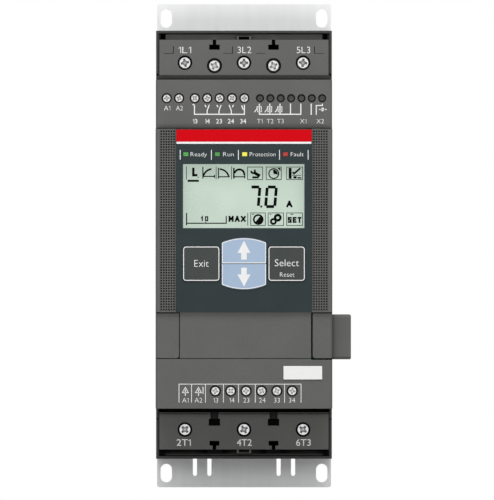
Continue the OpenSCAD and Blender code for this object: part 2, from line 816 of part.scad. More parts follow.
module control_cover()
    color(grey) difference() {
        body_bar([control_bot, front_top], [middle_d, control_d]);
        span([-half_w + wall, half_w - wall], [control_bot + wall, front_top - wall],
             [middle_d - 1, control_d - wall]);
        for (xs = [supply_x, relay_x])
            span([xs[0] - relay_pitch / 2 - play, xs[len(xs) - 1] + relay_pitch / 2 + play],
                 [front_top - wall - 1, front_top + 1], [middle_d - 1, control_d - wall]);
        span([signal_x[0] - signal_pitch / 2 - play, signal_x[6] + signal_pitch / 2 + play],
             [front_top - wall - 1, front_top + 1], [middle_d - 1, control_d - wall]);
        for (x = concat(supply_x, relay_x))
            translate([x, control_y, control_d - wall - 1]) cylinder(r = bright_hole_r, h = wall + 2);
        for (x = signal_x)
            translate([x, control_y, control_d - wall - 1]) cylinder(r = dark_hole_r, h = wall + 2);
    }

// Front cover with keypad and label area

module key_outline(w, h, grow)
    rounded_rect(w + 2 * grow, h + 2 * grow, key_r + max(grow, 0));

// The arrow pad: straight sides, arched top and bottom
module pad_outline(grow) {
    bulge = (pad_h - pad_side_h) / 2;
    arch_r = (pad_w * pad_w / 4 + bulge * bulge) / (2 * bulge);
    intersection() {
        square([pad_w + 2 * grow, pad_h + 2 * grow + 2], center = true);
        translate([0, pad_h / 2 - arch_r]) circle(arch_r + grow);
        translate([0, arch_r - pad_h / 2]) circle(arch_r + grow);
    }
}

module half_pad(side, grow)
    intersection() {
        pad_outline(grow);
        translate([-pad_w, side > 0 ? key_gap / 2 : -pad_h - key_gap / 2]) square([2 * pad_w, pad_h]);
    }

module key_holes(grow) {
    for (s = [-1, 1])
        translate([s * key_x, key_y]) key_outline(key_w, key_h, grow);
    translate([0, key_y]) pad_outline(grow);
}

module light_holes(grow)
    for (x = light_x)
        translate([x, light_y]) square([light_w + 2 * grow, light_h + 2 * grow], center = true);

module display_hole(grow)
    translate([display_x, display_y]) square([display_w + 2 * grow, display_h + 2 * grow], center = true);

post_x = 37.5;
post_in = 5.5;
board_posts = [for (x = [-post_x, post_x], y = [keypad_bot + post_in, keypad_top - post_in]) [x, y]];

module front_cover()
    color(grey) difference() {
        union() {
            difference() {
                union() {
                    body_bar([front_bot, keypad_top], [middle_d, label_d]);
                    body_bar([keypad_bot, keypad_top], [label_d - 4, keypad_d]);
                }
                span([-half_w + wall, half_w - wall], [front_bot + wall, keypad_top - wall],
                     [middle_d - 1, front_in]);
            }
            for (p = board_posts)
                translate([p[0], p[1], control_board_z + board_t])
                    cylinder(r = 2.5, h = front_in - control_board_z);
        }
        span([-foil_w / 2 - play, foil_w / 2 + play], [foil_bot - play, strip_top + play],
             [keypad_d - foil_t, body_d + 1]);
        translate([0, 0, front_in - 1]) linear_extrude(wall + keypad_rise + 2) {
            key_holes(key_gap);
            light_holes(play);
            display_hole(play);
        }
        for (x = lower_x)
            translate([x, lower_y, front_in - 1]) cylinder(r = 2.9, h = wall + 2);
        span([lower_x[0] - lower_pitch / 2 - play, lower_x[5] + lower_pitch / 2 + play],
             [front_bot - 1, front_bot + wall + 1], [lower_block_z - play, front_in]);
        span([-half_w - 1, left_cap_x + cap_gap], [cap_bot - cap_gap, cap_top + eps],
             [label_d - cap_d, label_d + 1]);
        span([right_cap_x - port_gap, half_w + 1], [cap_bot - port_gap, cap_top + eps],
             [label_d - cap_d, label_d + 1]);
        span([left_cap_x, right_cap_x], [cap_bot - cap_gap, cap_bot], [label_d - score_depth, label_d + 1]);
        marker_place(play, label_d - 0.3, 1);
        grip_beds();
    }

// Shallow beds of the dimpled grip strips on both sides of the keypad
module grip_beds()
    for (x = [-1, 1])
        span([x * (foil_w / 2 + play + 0.3), x * (foil_w / 2 + play + grip_w)],
             [keypad_bot + 0.6, keypad_top - 0.6], [keypad_d - grip_depth, keypad_d + 1]);

marker_x = 19.9;
marker_w = 19.5;
marker_y = front_bot + 14.7;
marker_h = 6.8;

module marker_place(grow, z, t)
    span([marker_x - grow, marker_x + marker_w + grow],
         [marker_y - grow, marker_y + marker_h + grow], [z, z + t]);

module marker_plate()
    color([0.94, 0.94, 0.94]) marker_place(0, label_d - 0.3, 0.7);

module keypad_foil()
    color([0.20, 0.24, 0.25]) translate([0, 0, keypad_d - foil_t]) linear_extrude(foil_t) difference() {
        translate([-foil_w / 2, foil_bot]) square([foil_w, foil_top - foil_bot]);
        key_holes(key_gap);
        light_holes(play);
        display_hole(play);
    }

module red_strip()
    color([0.83, 0.11, 0.16])
        span([-foil_w / 2, foil_w / 2], [foil_top, strip_top], [keypad_d - foil_t, keypad_d]);

// Key caps: a flange behind the cover keeps each one in, and a stem works the switch below it
flange_z = front_in - play - flange_t;
switch_top = flange_z - 2.5 - key_travel - 0.2;

module key_stack(y) {
    translate([0, 0, flange_z]) linear_extrude(flange_t) children(1);
    translate([0, 0, flange_z + flange_t - eps])
        linear_extrude(body_d - flange_z - flange_t + eps) children(0);
    translate([0, y, flange_z - 2.5]) cylinder(r = 2.6, h = 3);
}

// Where two keys are neighbours, neither flange reaches past its own cap
module side_key(s)
    color([0.27, 0.29, 0.29]) translate([s * key_x, key_y, 0]) key_stack(0) {
        key_outline(key_w, key_h, 0);
        intersection() {
            key_outline(key_w, key_h, key_gap + flange_lip);
            translate([s * (key_w / 2 + play), 0]) square(2 * key_w, center = true);
        }
    }

module arrow_key(s)
    color([0.64, 0.73, 0.81]) translate([0, key_y, 0]) key_stack(s * pad_h / 4) {
        half_pad(s, 0);
        intersection() {
            half_pad(s, key_gap + flange_lip);
            square([pad_w - 2 * play, 2 * pad_h], center = true);
        }
    }

switch_at = [[-key_x, key_y], [key_x, key_y], [0, key_y + pad_h / 4], [0, key_y - pad_h / 4]];

module key_switches()
    color(black) for (p = switch_at) {
        z = control_board_z + board_t;
        span([p[0] - 3, p[0] + 3], [p[1] - 3, p[1] + 3], [z, switch_top - 1.2]);
        translate([p[0], p[1], z]) cylinder(r = 1.75, h = switch_top - z);
    }

module control_board()
    color(board_green)
        span([-half_w + wall + 1.5, half_w - wall - 1.5], [keypad_bot + 2, keypad_top - wall - 0.5],
             [control_board_z, control_board_z + board_t]);

// The display: its glass lies in a frame on the board, behind the window
window_rim = 1.2;
window_rim_t = 0.8;
window_sink = 0.3;
glass_rim = 0.6;
glass_t = 2;
frame_rim = 2;
glass_top = front_in - window_rim_t - play;

module display_frame()
    color(black) difference() {
        z = control_board_z + board_t;
        translate([0, 0, z]) linear_extrude(glass_top - z) display_hole(frame_rim);
        translate([0, 0, glass_top - glass_t]) linear_extrude(glass_t + 1) display_hole(glass_rim + play);
    }

module display_glass()
    color([0.79, 0.86, 0.80])
        translate([0, 0, glass_top - glass_t]) linear_extrude(glass_t) display_hole(glass_rim);

// Clear window from behind: a rim rests on the cover and a pane fills the opening
module display_window()
    color([0.85, 0.92, 0.88]) {
        translate([0, 0, front_in - window_rim_t]) linear_extrude(window_rim_t) display_hole(window_rim);
        translate([0, 0, front_in - eps])
            linear_extrude(keypad_d - front_in - window_sink + eps) display_hole(0);
    }

module light(i, tint)
    color(tint) translate([light_x[i], light_y, control_board_z + board_t])
        translate([-light_w / 2, -light_h / 2, 0])
            cube([light_w, light_h, keypad_d - control_board_z - board_t]);

module lower_terminal_block()
    color(dark_grey)
        terminal_body(lower_x, lower_head_d + well_play, lower_y, front_bot + play,
                      [lower_block_z, front_in])
            span([lower_x[0] - lower_pitch / 2, lower_x[5] + lower_pitch / 2],
                 [front_bot + play, front_bot + lower_block_h], [lower_block_z, front_in]);

module lower_terminal_screws()
    color(steel) for (x = lower_x)
        translate([x, lower_y, label_d - 0.8])
            head_screw(lower_head_d, 2.2, small_shank_d, small_screw_len, x * 7);

// Corner caps over the side ports, and the connector box on the right
module corner_cap(s, inner)
    difference() {
        intersection() {
            body_bar([cap_bot, cap_top - cap_gap], [label_d - cap_d + cap_gap, label_d]);
            translate([s > 0 ? inner : -half_w, cap_bot, 0])
                cube([half_w - abs(inner), cap_top - cap_gap - cap_bot, body_d]);
        }
        span(s > 0 ? [inner - 1, half_w - wall] : [-half_w + wall, inner + 1],
             [cap_bot + wall, cap_top - cap_gap - wall], [middle_d, label_d - wall]);
        translate([inner - s * 0.01, cap_bot - 0.01, label_d - cap_d]) corner_cut(s);
    }

// What rounds off the lower inner corner of a cap
module corner_cut(s) {
    r = 1.4;
    linear_extrude(cap_d + 1) difference() {
        translate([s > 0 ? 0 : -r, 0]) square([r, r]);
        translate([s * r, r]) circle(r);
    }
}

module left_cap()
    color(grey) corner_cap(-1, left_cap_x);

module right_cap()
    color(grey) corner_cap(1, right_cap_x);

module side_connector() {
    bevel = 1.3;
    corner_r = 0.8;
    y = [cap_bot - 0.6, cap_top - 1];
    z = [label_d - 36, label_d - 8];
    out = 9.4;
    color(grey) intersection() {
        translate([half_w, 0, 0]) rotate([90, 0, 90]) linear_extrude(out) polygon([
            [y[0], z[0]], [y[1], z[0]], [y[1], z[1] - bevel], [y[1] - bevel, z[1]],
            [y[0] + bevel, z[1]], [y[0], z[1] - bevel]]);
        translate([half_w, (y[0] + y[1]) / 2, z[0] - 1])
            linear_extrude(z[1] - z[0] + 2) rounded_rect(2 * out, y[1] - y[0], corner_r);
    }
}

upright() mounting_plate();
upright() plate_screws();
upright() heat_sink();
upright() base_housing();
upright() fan_frames();
upright() fan_rotor(-1);  // fan_rotor_left
upright() fan_rotor(1);  // fan_rotor_right
upright() thyristor_modules();
upright() module_screws();
upright() phase_busbars();
upright() through_busbar();
upright() bypass_relays();
upright() current_transformers();
upright() power_board();
upright() line_terminal_block();
upright() load_terminal_block();
upright() clamp(poles[0], line_y);  // line_clamp_1
upright() clamp(poles[1], line_y);  // line_clamp_2
upright() clamp(poles[2], line_y);  // line_clamp_3
upright() clamp(poles[0], load_y);  // load_clamp_1
upright() clamp(poles[1], load_y);  // load_clamp_2
upright() clamp(poles[2], load_y);  // load_clamp_3
upright() clamp_screw(poles[0], line_y, 12);  // line_screw_1
upright() clamp_screw(poles[1], line_y, 0);  // line_screw_2
upright() clamp_screw(poles[2], line_y, -8);  // line_screw_3
upright() clamp_screw(poles[0], load_y, 45);  // load_screw_1
upright() clamp_screw(poles[1], load_y, 30);  // load_screw_2
upright() clamp_screw(poles[2], load_y, 52);  // load_screw_3
upright() line_terminal_cover();
upright() line_cover_screws();
upright() load_terminal_cover();
upright() middle_housing();
upright() relay_terminal_block();
upright() relay_terminal_screws();
upright() signal_terminal_block();
upright() signal_terminal_screws();
upright() control_cover();
upright() front_cover();
upright() control_board();
upright() key_switches();
upright() display_frame();
upright() display_glass();
upright() display_window();
upright() light(0, [0.35, 0.63, 0.35]);  // ready_light
upright() light(1, [0.35, 0.63, 0.35]);  // run_light
upright() light(2, [0.90, 0.91, 0.47]);  // protection_light
upright() light(3, [0.67, 0.23, 0.20]);  // fault_light
upright() keypad_foil();
upright() red_strip();
upright() side_key(-1);  // exit_key
upright() arrow_key(1);  // up_key
upright() arrow_key(-1);  // down_key
upright() side_key(1);  // select_key
upright() lower_terminal_block();
upright() lower_terminal_screws();
upright() left_cap();
upright() right_cap();
upright() side_connector();
upright() marker_plate();
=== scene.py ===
import math

import bmesh
import bpy
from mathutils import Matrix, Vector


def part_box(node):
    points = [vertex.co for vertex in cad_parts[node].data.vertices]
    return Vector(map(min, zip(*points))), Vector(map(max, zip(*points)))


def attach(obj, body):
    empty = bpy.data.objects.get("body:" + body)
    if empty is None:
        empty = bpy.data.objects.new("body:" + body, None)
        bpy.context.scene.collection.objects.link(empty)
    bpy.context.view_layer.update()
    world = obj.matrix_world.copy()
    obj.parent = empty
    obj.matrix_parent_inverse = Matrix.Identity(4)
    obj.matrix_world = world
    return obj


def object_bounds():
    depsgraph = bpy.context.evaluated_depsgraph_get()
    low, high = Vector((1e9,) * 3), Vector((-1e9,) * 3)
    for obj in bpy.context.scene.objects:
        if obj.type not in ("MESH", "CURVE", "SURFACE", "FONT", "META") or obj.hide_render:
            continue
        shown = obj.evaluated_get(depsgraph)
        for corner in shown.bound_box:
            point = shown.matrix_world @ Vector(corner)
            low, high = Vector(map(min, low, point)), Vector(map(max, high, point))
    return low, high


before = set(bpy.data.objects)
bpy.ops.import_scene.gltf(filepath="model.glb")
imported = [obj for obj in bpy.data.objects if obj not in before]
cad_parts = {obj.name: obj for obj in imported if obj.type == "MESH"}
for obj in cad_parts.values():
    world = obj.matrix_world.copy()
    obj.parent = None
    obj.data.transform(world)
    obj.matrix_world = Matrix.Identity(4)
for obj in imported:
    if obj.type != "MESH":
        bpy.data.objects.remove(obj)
cad_box = [list(corner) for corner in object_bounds()]


# Mounting plate: a flat sheet of steel, punched with four fixing slots and zinc plated.
# The heat sink and the housing are screwed to it from behind.

# Sizes are in millimetres, apart from the stage's, and MM turns them to the frame's metres.
MM = 0.001


def linear(code):
    """An sRGB hex colour as linear red, green, blue and alpha."""
    parts = [int(code[i:i + 2], 16) / 255 for i in (1, 3, 5)]
    return [p / 12.92 if p <= 0.04045 else ((p + 0.055) / 1.055) ** 2.4 for p in parts] + [1.0]


def add_node(finish, kind, links, **settings):
    """Adds one node to a material or world; links maps its inputs to values or to outputs."""
    tree = finish.node_tree
    node = tree.nodes.new(kind)
    for name, value in settings.items():
        setattr(node, name, value)
    for name, value in links.items():
        if isinstance(value, bpy.types.NodeSocket):
            tree.links.new(value, node.inputs[name])
        else:
            node.inputs[name].default_value = value
    return node


def start_finish(name, **sockets):
    """A new material, with the values that are the same all over set on its own sockets."""
    finish = bpy.data.materials.new(name)
    finish.use_nodes = True
    surface = finish.node_tree.nodes["Principled BSDF"]
    for socket, value in sockets.items():
        surface.inputs[socket.replace("_", " ")].default_value = value
    return finish, surface


def pattern(finish, size, stretch=(1, 1, 1), detail=2.0):
    """Noise whose features are size millimetres wide, drawn out along an axis by its stretch."""
    place = add_node(finish, "ShaderNodeTexCoord", {}).outputs["Object"]
    scaled = add_node(finish, "ShaderNodeMapping", {
        "Vector": place, "Scale": [1 / (size * MM * s) for s in stretch]}).outputs["Vector"]
    return add_node(finish, "ShaderNodeTexNoise", {
        "Vector": scaled, "Scale": 1.0, "Detail": detail}).outputs["Fac"]


NOISE_LOW, NOISE_HIGH = 0.3, 0.7
EMBOSS_STRENGTH = 0.6


def between(finish, noise, low, high):
    """A noise pattern, which lies mostly from NOISE_LOW to NOISE_HIGH, as a value from low to high."""
    return add_node(finish, "ShaderNodeMapRange", {
        "Value": noise, "From Min": NOISE_LOW, "From Max": NOISE_HIGH,
        "To Min": low, "To Max": high}).outputs["Result"]


def blend_colours(finish, noise, first, second):
    """A mix of two sRGB hex colours by a noise pattern."""
    return add_node(finish, "ShaderNodeMixRGB", {
        "Fac": between(finish, noise, 0.0, 1.0),
        "Color1": linear(first), "Color2": linear(second)}).outputs["Color"]


def emboss(finish, surface, height, depth):
    """Raises the surface by the height pattern, depth millimetres at most."""
    bump = add_node(finish, "ShaderNodeBump", {
        "Strength": EMBOSS_STRENGTH, "Distance": depth * MM, "Height": height})
    finish.node_tree.links.new(bump.outputs["Normal"], surface.inputs["Normal"])


def rolled_metal(name, pale, deep, roughness, streak, grain, depth, stretch=(1, 1, 1), swing=0.03,
                 metallic=1.0):
    """Bare or plated metal: streaks along its rolling or drawing direction, and a finer grain."""
    finish, surface = start_finish(name, Metallic=metallic)
    streaks = pattern(finish, streak, stretch)
    fine = pattern(finish, grain, stretch, detail=3.0)
    links = finish.node_tree.links
    links.new(blend_colours(finish, streaks, pale, deep), surface.inputs["Base Color"])
    links.new(between(finish, fine, roughness - swing, roughness + swing), surface.inputs["Roughness"])
    emboss(finish, surface, fine, depth)
    return finish


def dress(finish, *names):
    """Gives CAD nodes their finish."""
    for name in names:
        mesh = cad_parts[name].data
        mesh.materials.clear()
        mesh.materials.append(finish)


# Zinc plate, passivated: pale grey and dull, half mirror and half matt, with faint upright streaks.
zinc_plate = rolled_metal("zinc plated steel sheet", "#f6f7f7", "#f2f3f3", roughness=0.5, streak=3.0,
                          grain=0.8, depth=0.0003, stretch=(1, 1, 12), swing=0.015, metallic=0.5)
dress(zinc_plate, "mounting_plate")


# Screws: cold-headed steel with a bright nickel plating, for the plate, the modules, the line cover
# and the wire clamps. The small terminal screws are dull zinc, those of the signal terminals black.


def shade_recess(finish, reach, dark, open_from=0.45, open_at=0.9, alone=True):
    """Paints shade into the colour where the shape closes in within reach millimetres: by the piece's own
    shape alone, or by its neighbours too."""
    colour = finish.node_tree.nodes["Principled BSDF"].inputs["Base Color"]
    bright = colour.links[0].from_socket
    open_share = add_node(finish, "ShaderNodeAmbientOcclusion", {"Distance": reach * MM},
                          samples=12, only_local=alone).outputs["AO"]
    clear = add_node(finish, "ShaderNodeMapRange", {
        "Value": open_share, "From Min": open_from, "From Max": open_at,
        "To Min": 0.0, "To Max": 1.0}).outputs["Result"]
    shaded = add_node(finish, "ShaderNodeMixRGB", {
        "Fac": clear, "Color1": linear(dark), "Color2": bright}).outputs["Color"]
    finish.node_tree.links.new(shaded, colour)


# Nickel on steel: bright and smooth, with the fine rings that heading and turning leave, and painted
# shade in the cross recess.
nickel_screw = rolled_metal("nickel plated screw steel", "#f4f5f4", "#e8eae9", roughness=0.3, streak=0.8,
                            grain=0.25, depth=0.004)
shade_recess(nickel_screw, reach=2.0, dark="#6a6b6b")
dress(nickel_screw, "plate_screws", "module_screws", "line_cover_screws",
      *(f"{end}_screw_{i}" for end in ("line", "load") for i in (1, 2, 3)))

# Dull zinc: the small terminal screws are greyer and cloudy, with barely darker painted shade in their
# shallow recess.
zinc_screw = rolled_metal("dull zinc plated screw steel", "#f2f1ee", "#e4e3df", roughness=0.42, streak=0.8,
                          grain=0.25, depth=0.004)
shade_recess(zinc_screw, reach=1.2, dark="#a3a29e")
dress(zinc_screw, "relay_terminal_screws", "lower_terminal_screws")

# Black zinc: a dull dark film on the small screws, with the metal grey where it is thin.
black_screw = rolled_metal("blackened screw steel", "#6b6c6c", "#555656", roughness=0.45, streak=0.8,
                           grain=0.25, depth=0.006)
dress(black_screw, "signal_terminal_screws")


# Heat sink: an aluminium extrusion with upright fins, cut to length and left as extruded.
# The thyristor modules are bolted to its flat face.

# Extruded aluminium: silvery and satin, with fine die lines that run up the fins.
drawn_aluminium = rolled_metal("extruded aluminium", "#c9cbcc", "#b6b9bb", roughness=0.38, streak=1.2,
                               grain=0.3, depth=0.02, stretch=(1, 1, 60))
dress(drawn_aluminium, "heat_sink")


# Base housing and middle housing: two injection moulded boxes, one on the other, that take the
# heat sink, the power parts and the boards. They are of glass-filled polycarbonate, dyed grey.

SPECKLE_BASE = 0.25
GLOSS_SWING = 0.05


def moulded(name, pale, deep, grain, roughness, depth=0.03, mottle=14.0, **sockets):
    """Moulded plastic: an even colour with a slow mottle, and the mould's spark-eroded grain."""
    finish, surface = start_finish(name, **sockets)
    cloud = pattern(finish, mottle, detail=3.0)
    fine = pattern(finish, grain, detail=1.0)
    links = finish.node_tree.links
    speckle = add_node(finish, "ShaderNodeMath", {0: cloud, 1: fine, 2: SPECKLE_BASE},
                       operation="MULTIPLY_ADD").outputs["Value"]
    links.new(blend_colours(finish, speckle, deep, pale), surface.inputs["Base Color"])
    gloss = between(finish, fine, roughness - GLOSS_SWING, roughness + GLOSS_SWING)
    links.new(gloss, surface.inputs["Roughness"])
    emboss(finish, surface, fine, depth)
    return finish


EDGE_RADIUS = 0.35


def round_edges(finish):
    """Turns the light along sharp edges as the mould's small radius does. The mesh stays sharp."""
    tree = finish.node_tree
    edge = add_node(finish, "ShaderNodeBevel", {"Radius": EDGE_RADIUS * MM}, samples=6)
    tree.links.new(edge.outputs["Normal"], tree.nodes["Bump"].inputs["Normal"])


# Grey polycarbonate: matt, with a fine grain, drawn 0.7 mm wide, coarser than the real 0.3 mm, and
# painted shade that turns it dark in its gaps and pockets.
grey_moulding = moulded("moulded grey polycarbonate", "#696967", "#626260", grain=0.7, roughness=0.55,
                        IOR=1.58, Specular_IOR_Level=0.15)
shade_recess(grey_moulding, reach=7.0, dark="#1c1c1b", open_from=0.2, open_at=0.66, alone=False)
round_edges(grey_moulding)
dress(grey_moulding, "base_housing", "middle_housing")


# Fans: two small axial fans that blow up through the fins. Frame and rotor are moulded of PBT,
# and each rotor turns on its own bearing.

# Black PBT: dark and slightly glossy, with a very fine grain.
black_moulding = moulded("moulded black polyester", "#1c1c1d", "#151516", grain=0.5, roughness=0.42,
                         depth=0.02, IOR=1.57)
dress(black_moulding, "fan_frames", "fan_rotor_left", "fan_rotor_right")


# Power section: thyristor modules under moulded lids, copper bars that carry the phases, bypass
# relays on the power board, and current transformers around the bars.

# Rolled copper bar: warm brown red with length-wise rolling lines.
rolled_copper = rolled_metal("rolled copper bar", "#c98a64", "#b87650", roughness=0.34, streak=1.5,
                             grain=0.3, depth=0.01, stretch=(1, 1, 30))
dress(rolled_copper, "phase_busbars", "through_busbar")
dress(black_moulding, "thyristor_modules", "bypass_relays")

# Blue epoxy case: a glossy potted case, deep blue and nearly smooth.
blue_case = moulded("cast blue epoxy", "#27357a", "#212d68", grain=1.2, roughness=0.3, depth=0.01, IOR=1.55)
dress(blue_case, "current_transformers")


# Circuit boards: glass-epoxy laminate with copper tracks under a green solder mask.
# The power board lies over the modules, the control board behind the keypad.

BOARD_TRACK = 2.2
TRACK_DEPTH = 0.03

# Solder mask: glossy green over paler tracks, drawn wide enough to show through the vents.
solder_mask, mask_surface = start_finish("solder mask on glass epoxy", Roughness=0.32, IOR=1.52)
board_place = add_node(solder_mask, "ShaderNodeTexCoord", {}).outputs["Object"]
tracks = add_node(solder_mask, "ShaderNodeTexBrick", {
    "Vector": board_place, "Scale": 1 / (BOARD_TRACK * MM), "Mortar Size": 0.08, "Bias": 0.2,
    "Color1": linear("#1f5a38"), "Color2": linear("#1a4d30"), "Mortar": linear("#2c7048")})
solder_mask.node_tree.links.new(tracks.outputs["Color"], mask_surface.inputs["Base Color"])
emboss(solder_mask, mask_surface, tracks.outputs["Fac"], TRACK_DEPTH)
dress(solder_mask, "power_board", "control_board")


# Power terminals: grey moulded blocks at both ends, each with three rising clamps. A clamp is a
# bent and plated steel cage that its screw draws up against the bar, with the wire in between.

# Zinc on bent strip: bright and a little cloudy, with short streaks.
zinc_cage = rolled_metal("zinc plated clamp steel", "#d4d5d2", "#bfc1bf", roughness=0.36, streak=1.5,
                         grain=0.4, depth=0.01, stretch=(1, 1, 3))
dress(zinc_cage, *(f"{end}_clamp_{i}" for end in ("line", "load") for i in (1, 2, 3)))

# Dark grey polyamide: the blocks are glass-filled against the heat, a shade darker than the covers.
dark_moulding = moulded("moulded dark grey polyamide", "#464645", "#404040", grain=0.7, roughness=0.6,
                        IOR=1.53, Specular_IOR_Level=0.12)
# Painted shade: the blocks turn near black in their gaps, slots and where the hood hangs over them.
shade_recess(dark_moulding, reach=7.0, dark="#0a0a0a", open_from=0.2, open_at=0.68, alone=False)
round_edges(dark_moulding)
dress(dark_moulding, "line_terminal_block", "load_terminal_block")


# Terminal covers: moulded grey plates that snap or screw over the clamps, with a hole over each
# screw, slots for phase barriers, and the terminals' numbers printed in white.

INK = 0.04
dress(grey_moulding, "line_terminal_cover", "load_terminal_cover")


def face_of(name):
    """How far the front of a CAD node stands from the panel, in millimetres."""
    return -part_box(name)[0].y / MM


def raised_area(outline, z, thick=INK):
    """A flat shape on a face at z, as thick as its ink: its corners and its faces."""
    n = len(outline)
    corners = [(x, y, z + t) for t in (0, thick) for x, y in outline]
    faces = [tuple(range(n)), tuple(range(n, 2 * n))]
    faces += [(i, (i + 1) % n, n + (i + 1) % n, n + i) for i in range(n)]
    return corners, faces


def bar(x0, x1, y0, y1, z, thick=INK):
    """A rectangle of ink between two corners."""
    return raised_area([(x0, y0), (x1, y0), (x1, y1), (x0, y1)], z, thick)


def raised_line(points, width, z, closed=False, thick=INK):
    """A line of ink of that width through the points, mitred at its corners."""
    n = len(points)
    sides = []
    for i, (x, y) in enumerate(points):
        before = points[i - 1] if closed or i else None
        after = points[(i + 1) % n] if closed or i < n - 1 else None
        ways = []
        for start, end in ((before, (x, y)), ((x, y), after)):
            if start and end:
                length = math.dist(start, end)
                ways.append(((end[0] - start[0]) / length, (end[1] - start[1]) / length))
        first, last = ways[0], ways[-1]
        spread = 1 + first[0] * last[0] + first[1] * last[1]
        across = (-(first[1] + last[1]) / spread, (first[0] + last[0]) / spread)
        sides.append((across[0] * width / 2, across[1] * width / 2))
    # Four rows of n corners: the left and the right edge on the face, then the same two on top.
    corners = [(x + way * dx, y + way * dy, z + t) for t in (0, thick) for way in (1, -1)
               for (x, y), (dx, dy) in zip(points, sides)]
    faces = []
    for i in range(n if closed else n - 1):
        j = (i + 1) % n
        faces += [(i, j, n + j, n + i), (2 * n + i, 3 * n + i, 3 * n + j, 2 * n + j),
                  (i, 2 * n + i, 2 * n + j, j), (n + i, n + j, 3 * n + j, 3 * n + i)]
    if not closed:
        faces += [(0, n, 3 * n, 2 * n), (n - 1, 3 * n - 1, 4 * n - 1, 2 * n - 1)]
    return corners, faces


def joined(shapes):
    """Several shapes as one: all their corners, and their faces counted on."""
    corners, faces = [], []
    for shape_corners, shape_faces in shapes:
        faces += [tuple(i + len(corners) for i in face) for face in shape_faces]
        corners += shape_corners
    return corners, faces


def font_mesh(words, weight):
    """The outlines of a word in Blender's own font, as a closed mesh from -0.5 to 0.5 deep."""
    curve = bpy.data.curves.new("words", "FONT")
    curve.body = words
    curve.extrude = 0.5
    curve.offset = weight
    curve.resolution_u = 3
    holder = bpy.data.objects.new("words", curve)
    bpy.context.scene.collection.objects.link(holder)
    ready = holder.evaluated_get(bpy.context.evaluated_depsgraph_get())
    made = bpy.data.meshes.new_from_object(ready)
    corners = [tuple(v.co) for v in made.vertices]
    faces = [tuple(p.vertices) for p in made.polygons]
    bpy.data.objects.remove(holder)
    bpy.data.curves.remove(curve)
    bpy.data.meshes.remove(made)
    return corners, faces


def left_and_right(corners):
    """The leftmost and the rightmost place of a shape."""
    places = [corner[0] for corner in corners]
    return min(places), max(places)


CAPITAL = max(y for x, y, z in font_mesh("H", 0.0)[0])
# The figure 1 in shares of a capital's height, and its flag's drop and width in shares of its stroke.
STROKE = 0.115
FLAG_OUT, FLAG_LOW = 0.26, 0.74
ONE_ADVANCE = 0.45
FLAG_DROP, FLAG_STROKE = 0.6, 0.9
known_letters = {}


def figure_one(weight):
    """The figure 1 with its flag, as deep as the font's letters. The font's own is a bare bar."""
    stroke = STROKE * CAPITAL + 2 * weight
    top = CAPITAL + weight
    flag = raised_line([(-FLAG_OUT * CAPITAL, FLAG_LOW * CAPITAL), (0, top - stroke * FLAG_DROP)],
                       stroke * FLAG_STROKE, -0.5, thick=1.0)
    stem = bar(-stroke / 2, stroke / 2, -weight, top, -0.5, 1.0)
    return joined([flag, stem])


def one_letter(letter, weight):
    """A letter's mesh with its left edge at 0, its margin before it, and its advance."""
    if (letter, weight) not in known_letters:
        low, high = left_and_right(font_mesh("HH", weight)[0])
        pair = high - low
        low, high = left_and_right(font_mesh(f"H{letter}H", weight)[0])
        advance = high - low - pair
        if letter == "1":
            corners, faces = figure_one(weight)
            advance = ONE_ADVANCE * CAPITAL
        else:
            corners, faces = font_mesh(letter, weight)
        left, right = left_and_right(corners)
        corners = [(x - left, y, z) for x, y, z in corners]
        known_letters[letter, weight] = corners, faces, (advance - right + left) / 2, advance
    return known_letters[letter, weight]


def letters_mesh(words, weight):
    """A word at the font's own size, set letter by letter."""
    placed, pen = [], 0.0
    for letter in words:
        corners, faces, margin, advance = one_letter(letter, weight)
        placed.append(([(pen + margin + x, y, z) for x, y, z in corners], faces))
        pen += advance
    return joined(placed)


def lettering(words, x, y, z, height, width=None, weight=0.0):
    """A printed word centred on x and on the middle of its capitals at y, height tall, width wide."""
    corners, faces = letters_mesh(words, weight)
    low, high = left_and_right(corners)
    tall = height / CAPITAL
    wide = width / (high - low) if width else tall
    placed = [(x + (cx - (low + high) / 2) * wide, y + cy * tall - height / 2, z + (cz + 0.5) * INK)
              for cx, cy, cz in corners]
    return placed, faces


WELD = 0.0005


def add_piece(name, shapes, finish, body):
    """One object of all the shapes, drawn from the front in millimetres, on a body."""
    mesh = bpy.data.meshes.new(name)
    corners, faces = joined(shapes)
    mesh.from_pydata([(x * MM, -z * MM, y * MM) for x, y, z in corners], [], faces)
    whole = bmesh.new()
    whole.from_mesh(mesh)
    bmesh.ops.remove_doubles(whole, verts=whole.verts, dist=WELD * MM)
    bmesh.ops.recalc_face_normals(whole, faces=whole.faces)
    whole.to_mesh(mesh)
    whole.free()
    mesh.materials.append(finish)
    piece = bpy.data.objects.new(name, mesh)
    bpy.context.scene.collection.objects.link(piece)
    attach(piece, body)


# White pad-printed ink: slightly uneven cover over the grain, satin.
white_ink = moulded("white printed ink", "#fdfdfd", "#f1f2f2", grain=0.5, roughness=0.45, depth=0.004,
                    mottle=3.0, IOR=1.5)

# How far the font's outlines are drawn in or out, at the font's own size.
FINE_PRINT, STRONG_PRINT = -0.012, 0.006
COVER_NUMBER_TALL = 3.3
LINE_NUMBER_Y, LOAD_NUMBER_Y = 99.1, -99.6

line_face = face_of("line_terminal_cover")
line_numbers = [lettering(words, x, LINE_NUMBER_Y, line_face, COVER_NUMBER_TALL, width, FINE_PRINT)
                for words, x, width in (("1L1", -30.0, 6.5), ("3L2", 0.25, 7.0), ("5L3", 30.1, 6.9))]
add_piece("line_numbers", line_numbers, white_ink, "housing")

load_face = face_of("load_terminal_cover")
load_numbers = [lettering(words, x, LOAD_NUMBER_Y, load_face, COVER_NUMBER_TALL, width, STRONG_PRINT)
                for words, x, width in (("2T1", -30.5, 7.2), ("4T2", 0.15, 7.6), ("6T3", 30.1, 7.5))]
add_piece("load_numbers", load_numbers, white_ink, "housing")


